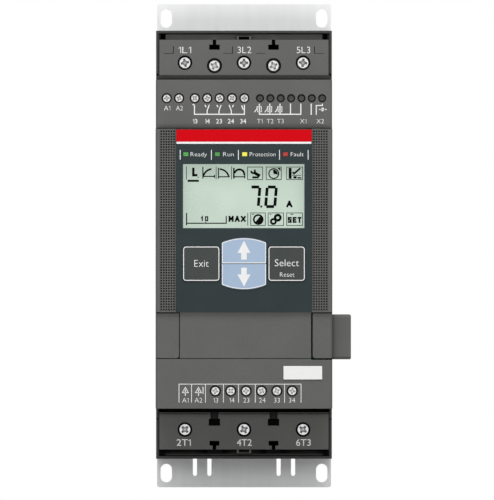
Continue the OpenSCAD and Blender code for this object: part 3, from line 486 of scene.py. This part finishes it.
# Control terminals: two blocks of small screw terminals side by side, moulded in black polyester, under
# a grey cover with a window over each screw. Numbers and contact signs are printed on the cover.

dress(black_moulding, "relay_terminal_block", "signal_terminal_block")
dress(grey_moulding, "control_cover")

control_face = face_of("control_cover")
SIGN_BASE, SIGN_TOP = 66.35, 71.7
SIGN_LINE, CONTACT_LINE = 0.55, 0.5
SENSOR_LINE, ARM_LINE = 0.35, 0.45
RELAY_LINE = 0.4
SUPPLY_Y, SUPPLY_TALL = 69.45, 2.35
NUMBER_Y, NUMBER_TALL = 62.85, 2.25

signs = [lettering("A1", -38.8, SUPPLY_Y, control_face, SUPPLY_TALL, 3.2, FINE_PRINT),
         lettering("A2", -32.6, SUPPLY_Y, control_face, SUPPLY_TALL, 3.5, FINE_PRINT)]
for words, x in (("13", -24.7), ("14", -18.5), ("23", -12.6), ("24", -6.6), ("34", -0.4)):
    signs.append(lettering(words, x, NUMBER_Y, control_face, NUMBER_TALL, weight=STRONG_PRINT))
for words, x in (("T1", 8.0), ("T2", 13.2), ("T3", 18.4), ("X1", 29.9), ("X2", 38.5)):
    signs.append(lettering(words, x, NUMBER_Y, control_face, NUMBER_TALL, weight=FINE_PRINT))


def sign_line(points, width, closed=False):
    """A printed line of a sign on the control cover."""
    signs.append(raised_line(points, width, control_face, closed))


# Relay contacts: a common line that turns up at both ends, with three forked contacts between them.
sign_line([(-25.0, 71.2), (-25.0, SIGN_BASE), (0.2, SIGN_BASE), (0.2, 71.2)], SIGN_LINE)
for x, sway in ((-18.6, -1.1), (-12.6, -1.1), (-6.4, 1.1)):
    sign_line([(x, SIGN_BASE + SIGN_LINE / 2), (x, 68.2), (x - sway, 71.1)], CONTACT_LINE)
    sign_line([(x + sway * 0.5, 69.9), (x + sway, 71.1)], CONTACT_LINE)
sign_line([(-1.2, 70.9), (-0.35, 68.6)], CONTACT_LINE)
sign_line([(-25.9, 71.0), (-25.3, 71.6)], CONTACT_LINE)

# Signal inputs: a common line with three sensors and two plain risers, and a relay at the right.
sign_line([(7.8, SIGN_TOP), (7.8, SIGN_BASE), (28.7, SIGN_BASE), (28.7, SIGN_TOP)], SIGN_LINE)
for x in (13.05, 18.2, 23.5):
    sign_line([(x, SIGN_BASE + SIGN_LINE / 2), (x, SIGN_TOP)], SIGN_LINE)
for x in (7.8, 13.05, 18.2):
    sensor = [(x - 0.95, 67.6), (x + 0.95, 67.6), (x + 0.95, 70.2), (x - 0.95, 70.2)]
    sign_line(sensor, SENSOR_LINE, closed=True)
    sign_line([(x - 2.5, 67.4), (x - 1.2, 69.2), (x - 1.2, 70.4)], ARM_LINE)
sign_line([(33.95, SIGN_BASE - 0.3), (33.95, SIGN_TOP)], SIGN_LINE)
sign_line([(36.5, SIGN_BASE - 0.3), (36.5, 70.8), (39.6, 70.8), (39.6, SIGN_TOP)], CONTACT_LINE)
sign_line([(37.8, 68.8), (41.8, 68.8)], RELAY_LINE)
sign_line([(38.8, 68.8), (39.8, 69.6), (40.6, 68.8), (39.6, 68.0)], RELAY_LINE, closed=True)
add_piece("control_signs", signs, white_ink, "housing")


# Front cover: the deep moulded hood over the control board, with the keypad's field. On both sides
# of the field is a grip strip, a net of small square pits.

dress(grey_moulding, "front_cover")

GRIP_COLUMNS, GRIP_ROWS = 6, 69
GRIP_INNER, GRIP_OUTER = 34.6, 42.25
GRIP_LOW, GRIP_HIGH = -32.75, 58.15
GRIP_HOLE = 0.62
GRIP_BED = 1.2
PIT_FILL = 0.6
SQUARE = ((-1, -1), (1, -1), (1, 1), (-1, 1))
grip_top = face_of("front_cover") - INK
grip_floor = grip_top - GRIP_BED + 2 * INK
cell_wide = (GRIP_OUTER - GRIP_INNER) / GRIP_COLUMNS
cell_tall = (GRIP_HIGH - GRIP_LOW) / GRIP_ROWS


def grip_cells(left):
    """Column, row and middle of each pit of the strip that starts at left."""
    return [(column, row, left + (column + 0.5) * cell_wide, GRIP_LOW + (row + 0.5) * cell_tall)
            for row in range(GRIP_ROWS) for column in range(GRIP_COLUMNS)]


def grip_net(left):
    """The net around the pits: rims on top, walls down to the bed, and outer walls at the edges."""
    shapes = []
    for column, row, cx, cy in grip_cells(left):
        outer = [(cx + sx * cell_wide / 2, cy + sy * cell_tall / 2) for sx, sy in SQUARE]
        inner = [(cx + sx * cell_wide * GRIP_HOLE / 2, cy + sy * cell_tall * GRIP_HOLE / 2)
                 for sx, sy in SQUARE]
        # Corners 0 to 7 are the outer and inner ring on the bed, 8 to 15 the same two on top.
        corners = [(x, y, z) for z in (grip_floor, grip_top) for ring in (outer, inner) for x, y in ring]
        at_edge = (row == 0, column == GRIP_COLUMNS - 1, row == GRIP_ROWS - 1, column == 0)
        faces = []
        for i in range(4):
            j = (i + 1) % 4
            faces.append((8 + i, 8 + j, 12 + j, 12 + i))
            faces.append((12 + i, 12 + j, 4 + j, 4 + i))
            faces.append((i, 4 + i, 4 + j, j))
            if at_edge[i]:
                faces.append((i, j, 8 + j, 8 + i))
        shapes.append((corners, faces))
    return shapes


def pit_shade_slabs(left):
    """Dark slabs of painted shade in the same pits, reaching about half way down."""
    half_wide, half_tall = cell_wide * GRIP_HOLE / 2, cell_tall * GRIP_HOLE / 2
    return [bar(cx - half_wide, cx + half_wide, cy - half_tall, cy + half_tall, grip_floor, PIT_FILL)
            for column, row, cx, cy in grip_cells(left)]


# Pit shade: a dark matt slab of the same plastic in each pit, painted shade where the pits are deep.
painted_pit_shade = moulded("painted shade in grip pits", "#2f2f2e", "#292928", grain=0.7, roughness=0.7,
                    IOR=1.58, Specular_IOR_Level=0.05)

for side, left in (("left", -GRIP_OUTER), ("right", GRIP_INNER)):
    add_piece(f"grip_strip_{side}", grip_net(left), grey_moulding, "housing")
    add_piece(f"grip_pit_shade_{side}", pit_shade_slabs(left), painted_pit_shade, "housing")


# Keypad works: small push switches on the control board, and the black frame that holds the
# display behind its window.

dress(black_moulding, "key_switches", "display_frame")


# Display: a reflective liquid crystal glass with a green-grey polariser, lit from behind. Its
# segments are dark signs in a row at the top and bottom, with large figures between them.

# Polariser film over the crystal: an even pale green, barely mottled, with a soft light of its own.
crystal, crystal_surface = start_finish("polarised display glass", Roughness=0.3, IOR=1.52,
                                        Specular_IOR_Level=0.05, Emission_Strength=0.5)
crystal_cloud = pattern(crystal, size=18.0, detail=1.0)
for socket, first, second in (("Base Color", "#949f95", "#9ca99e"),
                              ("Emission Color", "#c2d6c8", "#c8dacd")):
    crystal_tint = blend_colours(crystal, crystal_cloud, first, second)
    crystal.node_tree.links.new(crystal_tint, crystal_surface.inputs[socket])
dress(crystal, "display_glass")

# Dark crystal: a segment that is switched on, black with a green cast.
dark_crystal = moulded("dark liquid crystal", "#080b08", "#040604", grain=1.0, roughness=0.4,
                       depth=0.002, IOR=1.52, Specular_IOR_Level=0.0)

glass_face = face_of("display_glass")
FINE, MIDDLE, BOLD = 0.32, 0.56, 1.2


def segment(points, width, closed=False):
    """A line of the display that is switched on, of that width through the points."""
    return raised_line(points, width, glass_face, closed)


def frame_of(x0, x1, y0, y1):
    """The fine frame around one sign."""
    return segment([(x0, y0), (x1, y0), (x1, y1), (x0, y1)], FINE, closed=True)


def arc(x, y, radius, start, end, steps=20):
    """Points on an arc, from one angle to another in degrees."""
    turns = [math.radians(start + (end - start) * i / steps) for i in range(steps + 1)]
    return [(x + radius * math.cos(t), y + radius * math.sin(t)) for t in turns]


STROKES = {
    "M": (((0, 0), (0, 1)), ((0, 1), (0.5, 0.4)), ((0.5, 0.4), (1, 1)), ((1, 1), (1, 0))),
    "A": (((0, 0), (0.5, 1)), ((0.5, 1), (1, 0)), ((0.2, 0.32), (0.8, 0.32))),
    "X": (((0, 0), (1, 1)), ((0, 1), (1, 0))),
    "S": (((1, 1), (0, 1), (0, 0.5), (1, 0.5), (1, 0), (0, 0)),),
    "E": (((1, 1), (0, 1), (0, 0), (1, 0)), ((0, 0.5), (0.8, 0.5))),
    "T": (((0, 1), (1, 1)), ((0.5, 1), (0.5, 0))),
    "1": (((0.5, 0), (0.5, 1), (0.1, 0.75)),),
    "0": (((0.5, 0), (0, 0), (0, 1), (1, 1), (1, 0), (0.5, 0)),)}
LETTER_GAP = 0.5


def display_word(letters, x, y, height, width, stroke):
    """A word of straight strokes with square ends, centred on x and y, width wide over all."""
    pitch = (width + LETTER_GAP) / len(letters)
    wide = pitch - LETTER_GAP - stroke
    shapes = []
    for i, letter in enumerate(letters):
        left = x - width / 2 + stroke / 2 + i * pitch
        for line in STROKES[letter]:
            points = [(left + px * wide, y + (py - 0.5) * (height - stroke)) for px, py in line]
            for end, inner in ((0, 1), (-1, -2)):
                grow = stroke / 2 / math.dist(points[end], points[inner])
                points[end] = tuple(a + (a - b) * grow for a, b in zip(points[end], points[inner]))
            shapes.append(segment(points, stroke))
    return shapes


segments = [
    segment([(-29.0, 33.3), (-29.0, 39.9)], FINE),
    segment([(-25.5, 39.3), (-25.5, 35.5), (-23.4, 35.5)], BOLD),
    bar(-23.3, -22.7, 34.2, 34.6, glass_face),
    bar(-28.4, -22.7, 32.15, 33.2, glass_face),
    # ramp up
    segment([(-20.7, 33.8), (-20.7, 39.7)], MIDDLE),
    segment(arc(-15.6, 33.6, 5.1, 166, 98, 8), 0.9),
    segment([(-20.5, 34.9), (-15.0, 34.9)], MIDDLE),
    segment([(-14.8, 34.1), (-14.8, 35.7)], MIDDLE),
    segment([(-14.0, 33.4), (-14.0, 39.9)], FINE),
    # ramp down
    segment([(-12.85, 33.8), (-12.85, 39.3)], MIDDLE),
    segment(arc(-12.5, 33.6, 5.0, 88, 14, 8), 0.85),
    segment([(-12.6, 34.7), (-7.2, 34.7)], MIDDLE),
    segment([(-6.3, 33.3), (-6.3, 39.9)], FINE),
    # start and stop
    segment([(-5.1, 33.8), (-5.1, 39.2)], 0.8),
    segment(arc(-2.3, 35.9, 2.5, 165, -8, 12), 1.0),
    segment([(-4.7, 34.7), (0.2, 34.7)], MIDDLE),
    segment([(0.4, 33.9), (0.4, 35.6)], MIDDLE),
    # settings
    frame_of(1.8, 9.4, 33.3, 39.6),
    segment(arc(4.6, 37.5, 0.95, 170, 410, 10), 0.95),
    segment([(5.2, 36.8), (8.0, 35.1)], 1.5),
    segment([(4.2, 34.4), (7.4, 34.4)], 1.0),
    # clock
    frame_of(11.2, 18.8, 33.3, 39.6),
    segment(arc(15.0, 36.3, 2.45, 0, 345, 30), 0.62, closed=True),
    raised_area([(14.9, 36.2)] + arc(14.9, 36.2, 2.1, -12, 100, 10), glass_face),
    raised_area([(16.7, 39.2), (18.4, 37.5), (18.4, 39.2)], glass_face),
    # limit
    frame_of(21.5, 29.5, 33.3, 39.6),
    bar(22.5, 24.0, 33.7, 39.2, glass_face),
    segment([(24.5, 37.1), (25.2, 36.3), (28.4, 39.0)], 0.9),
    segment([(24.3, 35.4), (28.9, 35.4)], FINE),
    bar(24.9, 26.5, 33.8, 35.0, glass_face),
    bar(26.9, 28.9, 33.8, 34.5, glass_face)]

FIGURE_LOW, FIGURE_MIDDLE, FIGURE_HIGH = 19.7, 24.65, 29.55
FIGURE_WIDE = 4.6
FIGURE_LEAN = 0.085
FIGURE_STROKE = 1.5
SEGMENT_GAP = 0.35


def figure(x, on):
    """A leaning figure of up to seven segments: on names those that are switched on."""
    near, far = SEGMENT_GAP, FIGURE_WIDE - SEGMENT_GAP
    upper = (FIGURE_HIGH - SEGMENT_GAP, FIGURE_MIDDLE + SEGMENT_GAP)
    lower = (FIGURE_MIDDLE - SEGMENT_GAP, FIGURE_LOW + SEGMENT_GAP)
    ends = {"top": ((near, FIGURE_HIGH), (far, FIGURE_HIGH)),
            "bottom": ((near, FIGURE_LOW), (far, FIGURE_LOW)),
            "upper_left": [(0, y) for y in upper],
            "upper_right": [(FIGURE_WIDE, y) for y in upper],
            "lower_left": [(0, y) for y in lower],
            "lower_right": [(FIGURE_WIDE, y) for y in lower]}
    shapes = []
    for name in on:
        points = [(x + px + FIGURE_LEAN * (py - FIGURE_LOW), py) for px, py in ends[name]]
        shapes.append(segment(points, FIGURE_STROKE))
    return shapes


segments += figure(2.6, ("top", "upper_right", "lower_right"))
segments += figure(10.9, ("top", "upper_left", "upper_right", "lower_left", "lower_right", "bottom"))
segments += [
    bar(8.2, 9.2, 19.25, 20.2, glass_face),
    *display_word("A", 22.85, 21.0, 3.3, 3.1, 1.0),
    # scale
    segment([(-28.9, 10.3), (-28.9, 16.5)], MIDDLE),
    segment([(-28.7, 11.3), (-8.9, 11.3), (-8.9, 14.9)], MIDDLE),
    bar(-19.5, -19.1, 11.5, 12.0, glass_face),
    *display_word("10", -19.9, 13.6, 2.5, 3.8, 0.62),
    *display_word("MAX", -3.4, 13.5, 3.0, 8.7, 0.9),
    segment([(1.9, 10.2), (1.9, 16.5)], FINE),
    # motor
    frame_of(3.4, 10.75, 10.2, 16.5),
    segment(arc(7.2, 13.2, 2.25, 0, 345, 24), 0.9, closed=True),
    raised_area(arc(7.2, 13.2, 1.9, -140, 60, 14), glass_face),
    bar(4.2, 4.9, 15.5, 16.0, glass_face),
    # gear train
    frame_of(12.2, 19.9, 10.2, 16.5),
    segment(arc(14.8, 12.2, 1.2, 0, 340, 18), 1.05, closed=True),
    segment(arc(17.0, 14.1, 1.35, 0, 340, 18), 1.3, closed=True),
    bar(13.1, 13.7, 15.5, 16.0, glass_face),
    # setting
    frame_of(21.5, 29.45, 10.2, 16.5),
    *display_word("SET", 25.5, 13.0, 3.0, 6.9, 0.86),
    bar(23.4, 24.9, 15.6, 16.0, glass_face)]
add_piece("display_signs", segments, dark_crystal, "housing")

# Clear acrylic: cast and polished, so that the display shows through with a faint gloss.
clear_acrylic, acrylic_surface = start_finish("polished clear acrylic", Roughness=0.06, IOR=1.49,
                                              Alpha=0.002, Specular_IOR_Level=0.2)
acrylic_cloud = pattern(clear_acrylic, size=20.0, detail=1.0)
acrylic_tint = blend_colours(clear_acrylic, acrylic_cloud, "#e9efec", "#f3f6f4")
clear_acrylic.node_tree.links.new(acrylic_tint, acrylic_surface.inputs["Base Color"])
dress(clear_acrylic, "display_window")


# Lights: four small clear-dyed polycarbonate light guides from the board up to the keypad's face,
# two green, one yellow and one red.


def dyed_lens(name, pale, deep, glow):
    """Dyed polycarbonate, moulded glossy: a deep even colour that seems lit from inside."""
    finish, surface = start_finish(name, Roughness=0.22, IOR=1.58, Emission_Strength=glow)
    cloud = pattern(finish, size=1.2, detail=1.0)
    tint = blend_colours(finish, cloud, deep, pale)
    finish.node_tree.links.new(tint, surface.inputs["Base Color"])
    finish.node_tree.links.new(tint, surface.inputs["Emission Color"])
    return finish


dress(dyed_lens("green dyed polycarbonate", "#4da44c", "#429341", glow=0.12), "ready_light")
dress(dyed_lens("leaf green dyed polycarbonate", "#489145", "#40843d", glow=0.1), "run_light")
dress(dyed_lens("yellow dyed polycarbonate", "#eee65a", "#e2da4c", glow=0.15), "protection_light")
dress(dyed_lens("red dyed polycarbonate", "#b23026", "#a22920", glow=0.08), "fault_light")


# Keypad foil: a polyester sheet, printed on its back and glued into the field of the front cover.
# A red strip closes it at the top, with a white line under it, and the lights' names are in white.

# Printed polyester: a very dark green-grey with a fine embossed matt, drawn 0.6 mm wide.
foil_print = moulded("matt printed polyester", "#374042", "#313a3c", grain=0.6, roughness=0.5, depth=0.008,
                     IOR=1.6, Specular_IOR_Level=0.08)
dress(foil_print, "keypad_foil")

# Red ink under polyester: an even warm red, smoother than the foil.
red_print = moulded("red printed polyester", "#da0b18", "#d20915", grain=0.6, roughness=0.5, depth=0.006,
                    IOR=1.6, Specular_IOR_Level=0.05)
dress(red_print, "red_strip")

foil_face = face_of("keypad_foil")
FOIL_HALF = 33.95
WHITE_LOW, WHITE_HIGH = 51.3, 52.3
LIGHT_ROW, LIGHT_WORD_TALL = 46.05, 2.05
DIVIDER_LOW, DIVIDER_HIGH = 43.3, 48.2
DIVIDER_LINE = 0.36

white_line = bar(-FOIL_HALF, FOIL_HALF, WHITE_LOW, WHITE_HIGH, foil_face)
add_piece("keypad_white_line", [white_line], white_ink, "housing")

light_names = [raised_line([(x, DIVIDER_LOW), (x, DIVIDER_HIGH)], DIVIDER_LINE, foil_face)
               for x in (-32.1, -16.4, -2.8, 17.9, 32.3)]
for words, x, width in (("Ready", -22.75, 8.2), ("Run", -7.8, 5.3), ("Protection", 9.4, 13.0),
                        ("Fault", 26.8, 6.5)):
    light_names.append(lettering(words, x, LIGHT_ROW, foil_face, LIGHT_WORD_TALL, width, FINE_PRINT))
add_piece("light_names", light_names, white_ink, "housing")


# Keys: hard caps under the foil's field that press the switches: two grey ones with a word and
# a blue pad split across, each half with an arrow. Each cap has a fine white printed edge.

# Grey key film: smooth and satin, printed from behind.
grey_key = moulded("grey printed key film", "#4c504f", "#464a49", grain=0.6, roughness=0.5, depth=0.006,
                   IOR=1.55, Specular_IOR_Level=0.08)
dress(grey_key, "exit_key", "select_key")

# Blue key film: the same, over a pale blue print.
blue_key = moulded("blue printed key film", "#b0c5dd", "#a9bed7", grain=0.6, roughness=0.5, depth=0.006,
                   IOR=1.55, Specular_IOR_Level=0.08)
dress(blue_key, "up_key", "down_key")

KEY_X, KEY_Y = 21.5, -9.05
KEY_WIDE, KEY_TALL, KEY_CORNER = 18.3, 17.3, 1.2
KEY_EDGE, EDGE_MARGIN = 0.42, 0.05
KEY_WORD_TALL, SMALL_WORD_TALL = 3.5, 2.3
SELECT_PRINT = 0.8 * FINE_PRINT
key_face = face_of("exit_key")


def key_edge(x):
    """The printed edge of a square key: a rounded rectangle just inside its outline."""
    half_wide = KEY_WIDE / 2 - KEY_EDGE / 2 - EDGE_MARGIN
    half_tall = KEY_TALL / 2 - KEY_EDGE / 2 - EDGE_MARGIN
    ring = []
    for sx, sy, turn in ((1, 1, 0), (-1, 1, 90), (-1, -1, 180), (1, -1, 270)):
        cx, cy = x + sx * (half_wide - KEY_CORNER), KEY_Y + sy * (half_tall - KEY_CORNER)
        ring += arc(cx, cy, KEY_CORNER, turn, turn + 90, steps=5)
    return raised_line(ring, KEY_EDGE, key_face, closed=True)


exit_print = [key_edge(-KEY_X), lettering("Exit", -21.4, -8.9, key_face, KEY_WORD_TALL, 7.2, FINE_PRINT)]
add_piece("exit_key_print", exit_print, white_ink, "exit_key")
select_print = [key_edge(KEY_X),
                lettering("Select", 21.6, -8.6, key_face, KEY_WORD_TALL, 12.2, SELECT_PRINT),
                lettering("Reset", 21.75, -14.5, key_face, SMALL_WORD_TALL, 7.3, FINE_PRINT)]
add_piece("select_key_print", select_print, white_ink, "select_key")

PAD_WIDE, PAD_TALL, PAD_SIDE = 22.3, 25.6, 21.1
PAD_SPLIT = 0.15
pad_face = face_of("up_key")


def pad_edge(side):
    """The printed edge of one half of the pad: straight sides and a flat crown. The line along the
    split is on the upper half alone."""
    inset = KEY_EDGE / 2 + EDGE_MARGIN
    bulge = (PAD_TALL - PAD_SIDE) / 2
    crown = (PAD_WIDE ** 2 / 4 + bulge ** 2) / (2 * bulge)
    half = PAD_WIDE / 2 - inset
    lean = math.degrees(math.asin(half / (crown - inset)))
    top = arc(0, 0, crown - inset, 90 - lean, 90 + lean, steps=16)
    foot = KEY_Y + side * (PAD_SPLIT + inset)
    ring = [(x, KEY_Y + side * (y + PAD_TALL / 2 - crown)) for x, y in top] + [(-half, foot), (half, foot)]
    if side < 0:
        ring = ring[-1:] + ring[:-1]
    return raised_line(ring, KEY_EDGE, pad_face, closed=side > 0)


def pad_arrow(side):
    """A broad arrow that points away from the pad's middle."""
    points = [(1.4, 2.05), (1.4, 5.4), (3.25, 5.4), (0, 11.5), (-3.25, 5.4), (-1.4, 5.4), (-1.4, 2.05)]
    return raised_area([(x, KEY_Y + side * y) for x, y in points], pad_face)


for name, side in (("up_key", 1), ("down_key", -1)):
    add_piece(f"{name}_print", [pad_edge(side), pad_arrow(side)], white_ink, name)


# Lower terminals: a six-pole screw terminal in the front cover, with its connection plan printed
# in white: a frame, eight numbers in its fields and two arrows for the supply.

dress(black_moulding, "lower_terminal_block")
plan_face = face_of("left_cap")
PLAN_TOP, PLAN_LOW = -69.7, -79.0
PLAN_LEFT, PLAN_RIGHT = -32.7, 28.75
PLAN_LINE = 0.32
PLAN_NUMBER_Y, PLAN_NUMBER_TALL = -77.8, 2.4
ARROW_SHAFT, ARROW_LINE = 0.45, 0.34
HOOK_LINE = 0.4

plan_frame = [(PLAN_LEFT, PLAN_LOW), (PLAN_LEFT, PLAN_TOP),
              (PLAN_RIGHT, PLAN_TOP), (PLAN_RIGHT, PLAN_LOW)]
plan = [raised_line(plan_frame, PLAN_LINE, plan_face)]
for x in (-26.4, -19.4, -10.35, -2.75, 5.7, 20.45):
    plan.append(raised_line([(x, PLAN_LOW), (x, PLAN_TOP - PLAN_LINE / 2)], PLAN_LINE, plan_face))
for words, x in (("A1", -29.5), ("A2", -22.9), ("13", -14.2), ("14", -6.1), ("23", 1.2), ("24", 9.2),
                 ("33", 16.6), ("34", 24.2)):
    plan.append(lettering(words, x, PLAN_NUMBER_Y, plan_face, PLAN_NUMBER_TALL, weight=FINE_PRINT))
for x in (-29.5, -22.9):
    plan.append(raised_line([(x, -75.6), (x, -72.4)], ARROW_SHAFT, plan_face))
    head = [(x - 1.5, -74.0), (x, -71.3), (x + 1.5, -74.0)]
    plan.append(raised_line(head, ARROW_LINE, plan_face, closed=True))
plan.append(raised_line([(-21.0, -71.3), (-20.6, -71.3), (-20.6, -74.6)], HOOK_LINE, plan_face))
add_piece("connection_plan", plan, white_ink, "housing")


# Caps and side connector: two grey caps that close the front corners, and a plugged connector
# box that stands out on the right, all clipped into the front cover.

dress(grey_moulding, "left_cap", "right_cap", "side_connector")


# Marker plate: a small blank plate to write on, of white polyamide. It is pressed into its pocket
# in the front cover.

# White polyamide: clean and satin, faintly warm.
white_moulding = moulded("moulded white polyamide", "#fcfcfb", "#f7f7f6", grain=0.6, roughness=0.45,
                         depth=0.01, IOR=1.53)
dress(white_moulding, "marker_plate")


# Stage: a pale floor that fades out, a room that is white to look at and dim as a light, two soft
# lamps, one above and one straight in front, and a camera far away. Its lengths are in metres.

FLOOR_HALF = 0.9
FLOOR_DROP = 0.028
FADE_START, FADE_END = 0.25, 0.85
floor_mesh = bpy.data.meshes.new("floor")
floor_z = cad_box[0][2] - FLOOR_DROP
floor_corners = [(x * FLOOR_HALF, y * FLOOR_HALF, floor_z) for x, y in SQUARE]
floor_mesh.from_pydata(floor_corners, [], [(0, 1, 2, 3)])
floor = bpy.data.objects.new("floor", floor_mesh)
bpy.context.scene.collection.objects.link(floor)


def looked_at(finish):
    """1 where the camera, a mirror or a glass looks, and 0 for the light that is thrown on."""
    path = add_node(finish, "ShaderNodeLightPath", {}).outputs
    seen = path["Is Camera Ray"]
    for other in ("Is Glossy Ray", "Is Transmission Ray"):
        seen = add_node(finish, "ShaderNodeMath", {0: seen, 1: path[other]},
                        operation="MAXIMUM").outputs["Value"]
    return seen


# Painted board: white and matt to the camera and in metal, a quiet grey for the light that it
# throws back up. It fades into the room towards its edges, and is open to a look from underneath.
paint, paint_surface = start_finish("white painted board", Roughness=0.9)
board_tone = add_node(paint, "ShaderNodeMixRGB", {
    "Fac": looked_at(paint), "Color1": linear("#8c8c8c"), "Color2": linear("#f2f2f2")}).outputs["Color"]
paint.node_tree.links.new(board_tone, paint_surface.inputs["Base Color"])
floor_place = add_node(paint, "ShaderNodeTexCoord", {}).outputs["Object"]
reach = add_node(paint, "ShaderNodeVectorMath", {0: floor_place}, operation="LENGTH").outputs["Value"]
fade = add_node(paint, "ShaderNodeMapRange", {
    "Value": reach, "From Min": FADE_START, "From Max": FADE_END,
    "To Min": 1.0, "To Max": 0.0}).outputs["Result"]
underside = add_node(paint, "ShaderNodeNewGeometry", {}).outputs["Backfacing"]
board_cover = add_node(paint, "ShaderNodeMath", {0: fade, 1: underside},
                       operation="SUBTRACT", use_clamp=True).outputs["Value"]
paint.node_tree.links.new(board_cover, paint_surface.inputs["Alpha"])
floor_mesh.materials.append(paint)

# The room: brighter above than below and behind than in front, dim at both sides, and plain white
# where the camera, a mirror or a glass looks past the part.
LIGHT_BELOW, LIGHT_ABOVE = 0.06, 0.5
LIGHT_BEHIND = 1.1
SIDE_SHADE = 0.4
WHITE = 1.0
room = bpy.data.worlds.new("room")
bpy.context.scene.world = room
room.use_nodes = True
backdrop = room.node_tree.nodes["Background"]
ways = add_node(room, "ShaderNodeSeparateXYZ", {
    "Vector": add_node(room, "ShaderNodeTexCoord", {}).outputs["Generated"]}).outputs
height_light = add_node(room, "ShaderNodeMapRange", {
    "Value": ways["Z"], "From Min": -1.0, "From Max": 1.0,
    "To Min": LIGHT_BELOW, "To Max": LIGHT_ABOVE}).outputs["Result"]
back_light = add_node(room, "ShaderNodeMapRange", {
    "Value": ways["Y"], "To Min": 0.0, "To Max": LIGHT_BEHIND}).outputs["Result"]
sideways = add_node(room, "ShaderNodeMath", {0: ways["X"], 1: ways["X"]},
                    operation="MULTIPLY").outputs["Value"]
side_shade = add_node(room, "ShaderNodeMapRange", {
    "Value": sideways, "To Min": 1.0, "To Max": SIDE_SHADE}).outputs["Result"]
wall_light = add_node(room, "ShaderNodeMath", {0: height_light, 1: back_light},
                      operation="ADD").outputs["Value"]
room_light = add_node(room, "ShaderNodeMath", {0: wall_light, 1: side_shade},
                      operation="MULTIPLY").outputs["Value"]
level = add_node(room, "ShaderNodeMapRange", {
    "Value": looked_at(room), "To Min": room_light, "To Max": WHITE}).outputs["Result"]
backdrop.inputs["Color"].default_value = (1, 1, 1, 1)
room.node_tree.links.new(level, backdrop.inputs["Strength"])

# Two softboxes: one above, close enough that its light falls off down the front, and one straight in
# front, which reaches the covers under the hood. The front one shows in no metal, as it stands in the
# camera's line.
for name, place, turn, wide, tall, watts, mirrored in (
        ("top_softbox", (0.0, -0.5, 0.6), 34, 0.7, 0.3, 3.1, True),
        ("front_softbox", (0.0, -1.5, -0.02), 89, 0.5, 0.1, 6.8, False)):
    lamp = bpy.data.lights.new(name, "AREA")
    lamp.shape = "RECTANGLE"
    lamp.size, lamp.size_y = wide, tall
    lamp.energy = watts
    softbox = bpy.data.objects.new(name, lamp)
    softbox.location = place
    softbox.rotation_euler = (math.radians(turn), 0, 0)
    softbox.visible_glossy = mirrored
    bpy.context.scene.collection.objects.link(softbox)

# Camera: straight in front and far away, as a product shot with a long lens, and moved so that the
# part falls in the frame as it does in the photograph. Sensor and focal length are in millimetres.
SENSOR_WIDTH, FOCAL_LENGTH = 36, 1650
CAMERA_RIGHT, CAMERA_AWAY, CAMERA_DOWN = 0.00153, 11.722, 0.00217
lens = bpy.data.cameras.new("camera")
lens.sensor_width = SENSOR_WIDTH
lens.lens = FOCAL_LENGTH
camera = bpy.data.objects.new("camera", lens)
camera.location = (CAMERA_RIGHT, -CAMERA_AWAY, -CAMERA_DOWN)
camera.rotation_euler = (math.radians(90), 0, 0)
bpy.context.scene.collection.objects.link(camera)
bpy.context.scene.camera = camera
bpy.context.scene.view_settings.view_transform = "Standard"
